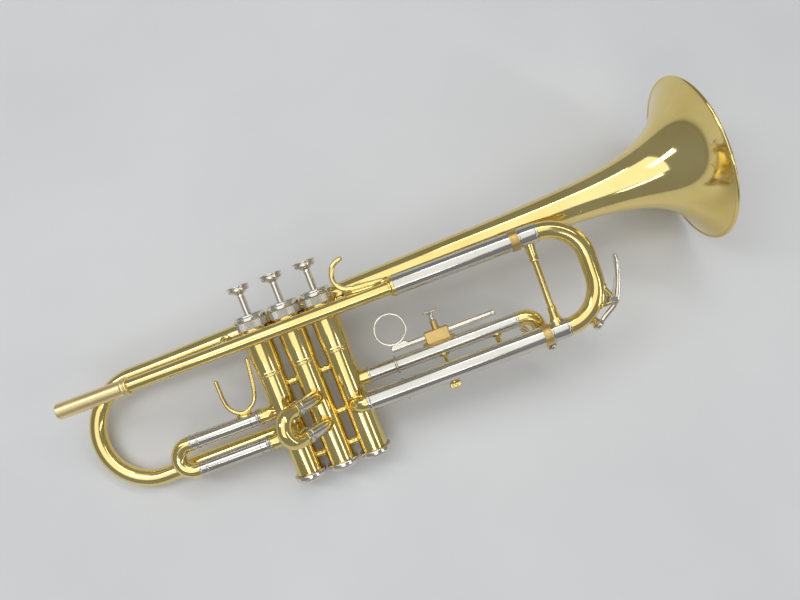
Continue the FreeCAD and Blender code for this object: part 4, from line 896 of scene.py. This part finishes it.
for x in (118.0, 213.0):
    low = Vector((x, MAIN_Y, 0))
    high = Vector((x, BELL_Y, BELL_Z + (x - BELL_X) * math.tan(BELL_RISE)))
    long = (high - low).length
    wide = horn(BELL_LONG - (x - BELL_X))
    line = [(4.7, 4.3), (5.5, 4.3)] + swell(5.6, 4.1, 9.4, 2.1)
    middle = (long + 5.0 - wide) / 2
    line += [(middle - 1.7, 2.0), (middle - 1.3, 2.7), (middle - 0.7, 3.0)]
    line += [(middle + 0.7, 3.0), (middle + 1.3, 2.7), (middle + 1.7, 2.0)]
    line += swell(long - wide - 4.6, 2.1, long - wide - 0.8, 4.1) + [(long - wide + 0.2, 4.3)]
    posts.append(
        stalk(
            line,
            aim(low, high - low),
            cylinder_region(low, AX, 5.0),
            cylinder_region(high, bell_way, wide - 0.05),
        ),
    )
piece("bell_post_set", posts, "horn", BRASS, "bell_braces")

hook_path = [
    (241.0, 6.6, 1.7, 1.6), (235.0, 7.0, 2.2, 1.85), (228.0, 7.7, 2.3, 1.95),
    (219.6, 8.4, 2.2, 1.95), (213.6, 10.6, 2.1, 1.95), (209.9, 15.6, 2.1, 1.85),
    (209.6, 21.0, 2.1, 1.85), (212.3, 26.8, 2.1, 1.85), (216.0, 29.4, 2.0, 1.85),
    (219.2, 30.2, 1.9, 1.7),
]
hook = bar(hook_path, Matrix.Translation((0, MAIN_Y, 0)), around=32, square=2.4)
hook_foot = straight_wrap((213.6, MAIN_Y, 0), AX, AZ, 29.2, 5.03, 6.8, 36.0, 10.0)
piece("little_finger_hook", [hook, hook_foot], "horn", BRASS, "pinky_hook")

# ---------------------------------------------------------------- main tuning slide

LEG_OUT = 6.07
FERRULE_LINE = [
    (0, 6.1), (0, 6.6), (0.25, 6.85), (10.5, 6.85), (10.9, 6.6), (11.3, 6.85), (12.2, 6.85),
    (12.4, 6.65), (12.4, 6.2), (0.5, 6.1),
]
legs = [pipe(258.0, 349.2, LEG_OUT - 0.5, LEG_OUT, shift(pipe_place, z=z)) for z in (0.0, LOW_Z)]
piece("tuning_legs", legs, "tuning_slide", NICKEL, "tuning_slide_legs")
piece(
    "tuning_ferrule_set",
    [lathe(FERRULE_LINE, aim((338.0, MAIN_Y, z), AX), 96, 0.15) for z in (0.0, LOW_Z)],
    "tuning_slide",
    NICKEL,
    "tuning_slide_ferrules",
)
tuning_bow = tube(
    [
        ("line", 0.7), ("bend", 27.5, 90.0, DOWN), ("line", 14.0), ("bend", 27.5, 90.0, AX * -1),
        ("line", 0.7),
    ],
    6.25,
    0.55,
    aim((349.3, MAIN_Y, 0), AX),
    72,
    step=2.5,
)
piece("tuning_bow", [tuning_bow], "tuning_slide", BRASS, "tuning_slide_bow")
brace_line = [
    (0.0, 3.8), (2.6, 3.5), (7.0, 3.15), (11.0, 3.0), (11.3, 3.25), (11.9, 3.3), (12.3, 2.95),
    (12.6, 2.35), (45.2, 2.35), (45.5, 2.9), (45.8, 3.2), (46.4, 3.1), (50.7, 3.2), (53.0, 3.5),
    (55.0, 4.1), (56.4, 4.8), (57.7, 5.2),
]
tuning_brace = stalk(
    brace_line,
    aim((343.0, MAIN_Y, -5.65), DOWN),
    cylinder_region((343, MAIN_Y, 0), AX, 6.8),
    cylinder_region((343, MAIN_Y, LOW_Z), AX, 6.8),
)
piece("tuning_brace", [tuning_brace], "tuning_slide", BRASS, "tuning_slide_brace")

# water key of the main slide
bow_centre = Vector((TUNING_BOW_X, MAIN_Y, -41.5))
key_way = Vector((math.cos(math.radians(-59.5)), 0, math.sin(math.radians(-59.5))))
key_place = aim(bow_centre, key_way)
nipple_line = [
    (29.5, 2.0), (29.5, 4.3), (32.9, 4.2), (33.3, 3.6), (33.8, 3.25), (36.2, 3.2), (36.7, 3.0),
    (36.7, 2.0),
]
piece(
    "drain_nipple",
    [lathe(nipple_line, key_place, 72, 0.15)],
    "tuning_slide",
    BRASS,
    "water_key_nipple",
)
saddle = []
rows = []
for i in range(13):
    a = math.radians(-13.0 - 31.0 * i / 12)
    out = Vector((math.cos(a), 0, math.sin(a)))
    rows.append(
        (bow_centre + out * 27.5, AY.cross(out), out, 28.0 + 26.0 * math.sin(math.pi * i / 12) ** 0.6),
    )
saddle.append(wrap(rows, 6.2, 7.0))
for side in (-4.6, 4.6):
    flat = Matrix.Translation((0, MAIN_Y + side, 0))
    foot_a = [
        (380.6, -51.4, 0.6, 1.1), (382.3, -54.6, 0.6, 1.0), (383.5, -58.0, 0.6, 1.0),
        (383.8, -60.4, 0.6, 1.1),
    ]
    foot_b = [
        (375.4, -62.4, 0.6, 1.1), (378.4, -62.9, 0.6, 1.0), (381.3, -62.4, 0.6, 1.0),
        (382.9, -61.9, 0.6, 1.1),
    ]
    saddle.append(bar(foot_a, flat, square=4.0))
    saddle.append(bar(foot_b, flat, square=4.0))
    saddle.append(pipe(-0.6, 0.6, 1.12, 2.9, aim(KEY_PIVOT + AY * side, AY), 0.2))
piece("key_saddle", saddle, "tuning_slide", BRASS, "water_key_saddle")
screw_place = aim(KEY_PIVOT - AY * 6.55, AY)
screw = slotted_head(2.9, 1.3, 0.35, screw_place)
screw.append(pipe(1.2, 11.6, 0.3, 1.07, screw_place, 0.15))
piece("key_screw", screw, "tuning_slide", BRIGHT, "water_key_screw")

lever_path = [
    (372.9, -73.3, 1.5, 1.5), (375.2, -71.4, 1.55, 1.7), (379.4, -68.8, 1.6, 1.8),
    (383.4, -66.2, 1.7, 1.9), (386.9, -62.3, 1.65, 1.9), (390.2, -55.6, 1.6, 1.9),
    (392.7, -48.8, 1.7, 1.85), (394.4, -41.5, 2.2, 1.75), (395.2, -36.5, 2.9, 1.5),
    (395.4, -33.4, 2.7, 1.3),
]
lever = [bar(lever_path, Matrix.Translation((0, MAIN_Y, 0)), square=2.3)]
cup_line = [
    (0.75, 3.4), (0.75, 4.15), (1.0, 4.3), (2.9, 4.15), (3.6, 3.7), (4.2, 2.9), (4.5, 1.7),
    (4.55, 0), (1.95, 0), (1.95, 3.4),
]
lever.append(lathe(cup_line, shift(key_place, 36.7), 72, 0.15))
lever.append(pipe(-3.7, 3.7, 1.14, 2.2, aim(KEY_PIVOT, AY), 0.2))
web = [(382.4, -62.4), (384.8, -59.9), (389.3, -58.6), (387.2, -64.0), (384.2, -67.4)]
lever.append(prism(web, 2.6, Matrix.Translation((0, MAIN_Y, 0)), 0.3, 0.8))
piece("key_lever", lever, "water_key", BRIGHT, "water_key_lever")
springs = []
for side in (-1, 1):
    springs.append(coil(2.55, 0.27, 3.2, side * 1.9, aim(KEY_PIVOT + AY * (side * 1.6), AY)))
leg = [
    (384.6, -59.2, 0.27, 0.27), (386.5, -56.5, 0.27, 0.27), (389.0, -52.0, 0.27, 0.27),
    (390.6, -48.2, 0.27, 0.27),
]
springs.append(bar(leg, Matrix.Translation((0, MAIN_Y + 1.7, 0)), around=10))
springs.append(bar(leg, Matrix.Translation((0, MAIN_Y - 1.7, 0)), around=10))
piece("key_spring", springs, "water_key", KEY_WIRE)
key_cork = [(0.05, 0), (0.05, 3.2), (0.3, 3.3), (1.9, 3.35), (1.9, 0)]
piece(
    "key_cork",
    [lathe(key_cork, shift(key_place, 36.7), 64, 0.15)],
    "water_key",
    CORK,
    "water_key_cork",
)

# ---------------------------------------------------------------- first valve slide

one_places = [aim((0, ONE_Y, z), AX) for z in SLIDE_Z]
piece(
    "first_legs",
    [pipe(84.0, 130.0, 4.37, 4.82, place) for place in one_places],
    "horn",
    NICKEL,
    "first_slide_inner_tubes",
)
stop_line = [
    (119.0, 4.85), (119.0, 5.4), (123.3, 5.4), (123.6, 5.95), (124.1, 6.1), (124.6, 5.95),
    (124.9, 5.5), (125.3, 5.95), (125.7, 6.1), (126.1, 5.95), (126.4, 5.7), (126.4, 4.85),
]
piece(
    "first_stops",
    [lathe(stop_line, place, 96, 0.12) for place in one_places],
    "horn",
    NICKEL,
    "first_slide_stops",
)
one_line = [
    (72.4, 4.9), (72.4, 5.6), (72.7, 5.85), (73.3, 5.85), (73.6, 5.4), (77.9, 5.4), (78.2, 5.75),
    (78.9, 5.75), (79.2, 5.4), (118.6, 5.4), (118.6, 4.9),
]
piece(
    "first_outer_tubes",
    [lathe(one_line, place, 96, 0.12) for place in one_places],
    "first_slide",
    NICKEL,
    "first_slide_outer_tubes",
)
one_bow = tube(
    [("line", 2.47), ("bend", BOW_RAD, 180.0, DOWN), ("line", 2.47)],
    5.4,
    0.5,
    aim((72.37, ONE_Y, SLIDE_Z[0]), AX * -1),
    64,
    step=3.0,
)
piece("first_bow", [one_bow], "first_slide", BRASS, "first_slide_bow")
thumb_line = [
    (105.2, -20.6), (105.1, -27.0), (105.2, -33.0), (106.0, -39.0), (108.4, -43.6), (112.0, -46.5),
    (116.0, -47.6), (120.0, -46.3), (124.3, -43.2), (127.4, -37.8), (129.2, -29.0), (130.6, -20.0),
    (131.6, -12.9),
]
thumb = bar([(x, z, 1.6, 1.5) for x, z in thumb_line], Matrix.Translation((0, ONE_Y, 0)), square=2.2)
thumb_pad = straight_wrap((110.6, ONE_Y, SLIDE_Z[0]), AX, AZ, 9.6, 5.38, 6.75, 40.0, 22.0)
piece("thumb_saddle", [thumb, thumb_pad], "first_slide", BRASS, "thumb_hook")

# ---------------------------------------------------------------- second valve slide

two_line = [
    (0.02, 4.9), (0.02, 5.4), (11.0, 5.4), (11.3, 5.7), (11.8, 5.8), (12.2, 5.7), (12.6, 5.4),
    (14.7, 5.4), (14.9, 5.75), (15.2, 5.85), (15.6, 5.75), (15.6, 4.9),
]
piece(
    "second_outer_tubes",
    [lathe(two_line, place, 96, 0.12) for place in two_place],
    "horn",
    NICKEL,
    "second_slide_outer_tubes",
)
piece(
    "second_legs",
    [pipe(2.4, 18.9, 4.37, 4.82, place) for place in two_place],
    "second_slide",
    NICKEL,
    "second_slide_legs",
)
two_run = shift(two_place[0], 16.0)
two_bow = [
    tube(
        [("line", 4.0), ("bend", BOW_RAD, 180.0, DOWN), ("line", 4.0)],
        5.35,
        0.5,
        two_run,
        64,
        step=3.0,
    ),
]
for z in (0.0, -20.0):
    two_bow.append(
        lathe(
            [(0, 4.9), (0, 5.65), (0.2, 5.8), (0.7, 5.8), (0.9, 5.6), (0.9, 4.9)],
            shift(two_run, z=z),
            96,
            0.1,
        ),
    )
piece("second_bow", two_bow, "second_slide", BRASS, "second_slide_bow")

# ---------------------------------------------------------------- third valve slide

three_places = [aim((0, 0, z), AX) for z in SLIDE_Z]
piece(
    "third_legs",
    [pipe(202.05, 301.0, 4.37, 4.82, place) for place in three_places],
    "horn",
    NICKEL,
    "third_slide_inner_tubes",
)
sleeve_line = [
    (207.5, 4.85), (207.5, 5.7), (207.9, 5.9), (208.6, 5.85), (209.0, 5.4), (227.9, 5.4),
    (228.3, 6.5), (228.7, 6.75), (229.3, 6.75), (229.7, 6.4), (229.7, 4.85),
]
piece(
    "third_sleeves",
    [lathe(sleeve_line, place, 96, 0.12) for place in three_places],
    "horn",
    NICKEL,
    "third_slide_sleeves",
)
three_line = [
    (230.1, 4.9), (230.1, 5.4), (319.1, 5.4), (319.5, 5.75), (320.7, 5.75), (321.1, 5.5),
    (321.1, 4.9),
]
piece(
    "third_outer_tubes",
    [lathe(three_line, place, 96, 0.12) for place in three_places],
    "third_slide",
    NICKEL,
    "third_slide_outer_tubes",
)
three_bow = tube(
    [("line", 2.37), ("bend", BOW_RAD, 180.0, DOWN), ("line", 2.37)],
    5.4,
    0.5,
    aim((321.13, 0, SLIDE_Z[0]), AX),
    64,
    step=3.0,
)
piece("third_bow", [three_bow], "third_slide", BRASS, "third_slide_bow")

upper_skin = cylinder_region((300, 0, SLIDE_Z[0]), AX, 5.35)
lower_skin = cylinder_region((300, 0, SLIDE_Z[1]), AX, 5.35)
stays = []
for x, thin in ((263.3, 1.3), (303.0, 1.9)):
    line = [(0.6, 4.3), (1.4, 4.2)] + swell(1.5, 4.1, 3.7, thin) + [(8.3, thin)]
    line += swell(8.3, thin, 10.5, 4.1) + [(10.6, 4.2), (11.4, 4.3)]
    stays.append(stalk(line, aim((x, 0, SLIDE_Z[0] - 4.0), DOWN), upper_skin, lower_skin))
piece("third_stays", stays, "third_slide", BRASS, "third_slide_braces")
nut_line = [
    (0.6, 0), (0.6, 2.7), (1.6, 2.7), (1.9, 3.9), (2.3, 4.25), (5.2, 4.25), (5.6, 4.0), (5.8, 3.2),
    (5.6, 1.4), (5.2, 0),
]
nut = lathe(nut_line, aim((263.3, 0, SLIDE_Z[1] - 4.4), DOWN), 288, 0.12, (2.1, 5.4, 3.9, 36, 0.28))
piece("third_nut", [nut], "third_slide", BRASS, "third_slide_nut")

block_side = [(254.5, -48.9), (272.0, -48.9), (272.0, -40.3), (254.5, -40.3)]
block = [prism(block_side, 8.0, None, 0.55, 0.7)]
block.append(straight_wrap((251.6, 0, SLIDE_Z[0]), AX, AZ, 23.4, 5.38, 7.1, 44.0, 12.0))
block.append(
    lathe(
        [(0, 0), (0, 3.0), (0.5, 2.9), (0.8, 2.5), (6.4, 2.5), (6.8, 2.2), (6.8, 0)],
        aim((ROD_X, 0, -40.6), AZ),
        64,
        0.12,
    ),
)
for x, way in ((254.6, -1), (271.9, 1)):
    block.append(
        lathe([(0, 2.25), (0, 3.0), (0.45, 2.9), (0.45, 2.25)], aim((x, 0, ROD_Z), AX * way), 64, 0.1),
    )
piece("rod_block", block, "third_slide", SATIN, "rod_holder")

turn_line = [
    (0, 0), (0, 0.8), (0.3, 1.18), (8.4, 1.18), (8.5, 1.6), (9.0, 2.15), (10.0, 2.2), (10.5, 1.4),
    (11.5, 1.4), (12.1, 2.1), (13.2, 2.3), (13.6, 4.6), (13.9, 5.4), (14.3, 5.6), (15.0, 5.6),
    (15.3, 5.3), (15.4, 3.8), (15.15, 0),
]
thumb_place = aim((ROD_X, 0, -41.53), AZ)
thumbscrew = lathe(turn_line, thumb_place, 320, 0.1, (13.7, 15.2, 5.2, 40, 0.25))
piece("clamp_screw", [thumbscrew], "thumbscrew", BRIGHT, "thumbscrew")

hoop = lathe(
    [(-2.0, 10.4), (-2.0, 11.9), (2.0, 11.9), (2.0, 10.4)],
    aim((233.1, 0, -29.2), AY),
    144,
    0.5,
)
rod_line = [
    (0, 0), (0, 2.0), (0.2, 2.2), (74.6, 2.2), (74.9, 1.85), (75.4, 1.85), (75.7, 2.2), (77.2, 2.2),
    (77.6, 1.9), (77.6, 0),
]
ring_rod = lathe(rod_line, aim((229.2, 0, ROD_Z), AX), 64, 0.12)
web = [
    (229.3, -45.4), (229.3, -42.0), (231.5, -40.8), (236.0, -40.6), (239.2, -39.9), (241.6, -41.4),
    (242.5, -43.0), (241.3, -45.4),
]
piece(
    "ring_on_rod",
    [hoop, ring_rod, prism(web, 3.4, None, 0.5, 0.8)],
    "finger_ring",
    BRIGHT,
    "finger_ring",
)

# water key of the third slide, in the frame of its bow
out = Vector((math.cos(math.radians(-50)), 0, math.sin(math.radians(-50))))
small_key = aim((323.5, 0, -64.7), out, AY)
seat = [
    lathe(
        [
            (13.0, 1.6), (13.0, 3.3), (15.6, 3.3), (16.1, 2.65), (20.0, 2.6), (20.5, 2.3),
            (20.5, 1.6),
        ],
        small_key,
        64,
        0.15,
    ),
]
lug = [(10.5, 4.6), (14.0, 9.2), (17.4, 10.6), (20.6, 8.6), (19.4, 5.6), (14.6, 2.6)]
for side in (-3.5, 3.5):
    seat.append(prism(lug, 1.0, shift(small_key, y=side), 0.2, 1.0))
seat.append(prism([(10.5, 4.6), (12.0, 6.6), (15.4, 4.2), (14.6, 2.6)], 8.0, small_key, 0.3, 0.5))
piece("small_key_saddle", seat, "third_slide", BRASS, "third_key_saddle")
pin_place = small_key @ aim((18.5, -5.05, 8.2), AY)
pin = slotted_head(2.1, 1.0, 0.25, pin_place)
pin.append(pipe(0.9, 8.6, 0.25, 0.87, pin_place, 0.12))
piece("small_key_screw", pin, "third_slide", BRIGHT, "third_key_screw")
arm_path = [(23.9, 0.3), (24.3, 3.8), (22.4, 7.6), (18.9, 9.7), (13.2, 11.8), (6.6, 12.5)]
arm = [
    bar(
        [(x, z, 1.3, 1.2) for x, z in arm_path] + [(2.4, 12.7, 2.4, 0.8), (-1.0, 12.8, 2.6, 0.7)],
        small_key,
        square=2.4,
    ),
]
small_cup = [
    (0.6, 2.75), (0.6, 3.5), (0.9, 3.6), (2.6, 3.45), (3.3, 2.9), (3.8, 1.9), (4.0, 0.8), (4.0, 0),
    (1.65, 0), (1.65, 2.75),
]
arm.append(lathe(small_cup, shift(small_key, 20.5), 64, 0.12))
arm.append(pipe(-2.7, 2.7, 0.94, 1.9, small_key @ aim((18.5, 0, 8.2), AY), 0.2))
piece("small_key_lever", arm, "third_key", BRIGHT, "third_key_lever")
small_cork = [(0.05, 0), (0.05, 2.55), (0.3, 2.65), (1.65, 2.65), (1.65, 0)]
piece(
    "small_key_cork",
    [lathe(small_cork, shift(small_key, 20.5), 64, 0.12)],
    "third_key",
    CORK,
    "third_key_cork",
)


# ---------------------------------------------------------------- floor, light and camera


def floor_material():
    material, nodes, links, shader, coords = start_material("plain_floor")
    source = coords.outputs["Object"]
    weave = noise_node(nodes, links, source, 900.0, 3.0)
    cloud = noise_node(nodes, links, source, 5.0, 3.0)
    colour = tones(nodes, links, cloud, ((0.3, (0.72, 0.72, 0.72)), (0.7, (0.78, 0.78, 0.775))))
    links.new(colour, shader.inputs["Base Color"])
    links.new(spread(nodes, links, weave, 0.75, 0.9), shader.inputs["Roughness"])
    shader.inputs["Specular IOR Level"].default_value = 0.25
    bumps(nodes, links, shader, [(weave, 0.0002, 0.2)])
    return material


floor_mesh = bpy.data.meshes.new("floor")
floor_mesh.from_pydata([(-6, -6, 0), (6, -6, 0), (6, 6, 0), (-6, 6, 0)], [], [(0, 1, 2, 3)])
floor = bpy.data.objects.new("floor", floor_mesh)
floor_mesh.materials.append(floor_material())
bpy.context.scene.collection.objects.link(floor)

world = bpy.data.worlds.new("soft_room")
bpy.context.scene.world = world
world.use_nodes = True
backdrop = world.node_tree.nodes["Background"]
backdrop.inputs["Color"].default_value = (0.75, 0.78, 0.82, 1.0)
backdrop.inputs["Strength"].default_value = 0.35

eye = LAY @ Vector((257.65, -493.93, 33.50))
right = (TURN @ Vector((0.9358, -0.0128, -0.3523))).normalized()
ahead = (TURN @ Vector((-0.0210, 0.9955, -0.0920))).normalized()
ahead = (ahead - right * ahead.dot(right)).normalized()
above = right.cross(ahead)


def lamp(name, place, target, size, power, colour=(1.0, 1.0, 1.0)):
    light = bpy.data.lights.new(name, "AREA")
    light.shape = "RECTANGLE"
    light.size, light.size_y = size
    light.energy = power
    light.color = colour
    obj = bpy.data.objects.new(name, light)
    obj.location = place
    obj.rotation_euler = (Vector(target) - Vector(place)).to_track_quat("-Z", "Y").to_euler()
    bpy.context.scene.collection.objects.link(obj)
    return obj


middle = LAY @ Vector((250.0, -10.0, -20.0))


def around(x, y, z):
    """A point beside the instrument, in the picture's right, up and toward-the-eye directions."""
    return middle + right * x + above * y - ahead * z


lamp("soft_panel", around(-0.25, 0.35, 1.35), middle, (2.0, 1.4), 9.0, (0.97, 0.99, 1.0))
lamp("window", around(-0.95, 0.35, 1.1), middle, (0.25, 0.9), 3.0)
lamp("ceiling_strip", around(0.25, 0.95, 1.0), middle, (1.5, 0.08), 2.5)
lamp("side_strip", around(1.15, -0.25, 0.8), middle, (0.1, 1.1), 2.0, (1.0, 0.97, 0.92))
lamp("low_strip", around(-0.05, -0.6, 1.3), middle, (0.8, 0.12), 1.5)

camera_data = bpy.data.cameras.new("camera")
camera_data.lens = 31.53
camera_data.sensor_width = 36.0
camera_data.clip_start = 0.01
camera = bpy.data.objects.new("camera", camera_data)
camera.matrix_world = Matrix.Translation(eye) @ Matrix((right, above, ahead * -1)).transposed().to_4x4()
bpy.context.scene.collection.objects.link(camera)
bpy.context.scene.camera = camera
bpy.context.scene.view_settings.view_transform = "Standard"
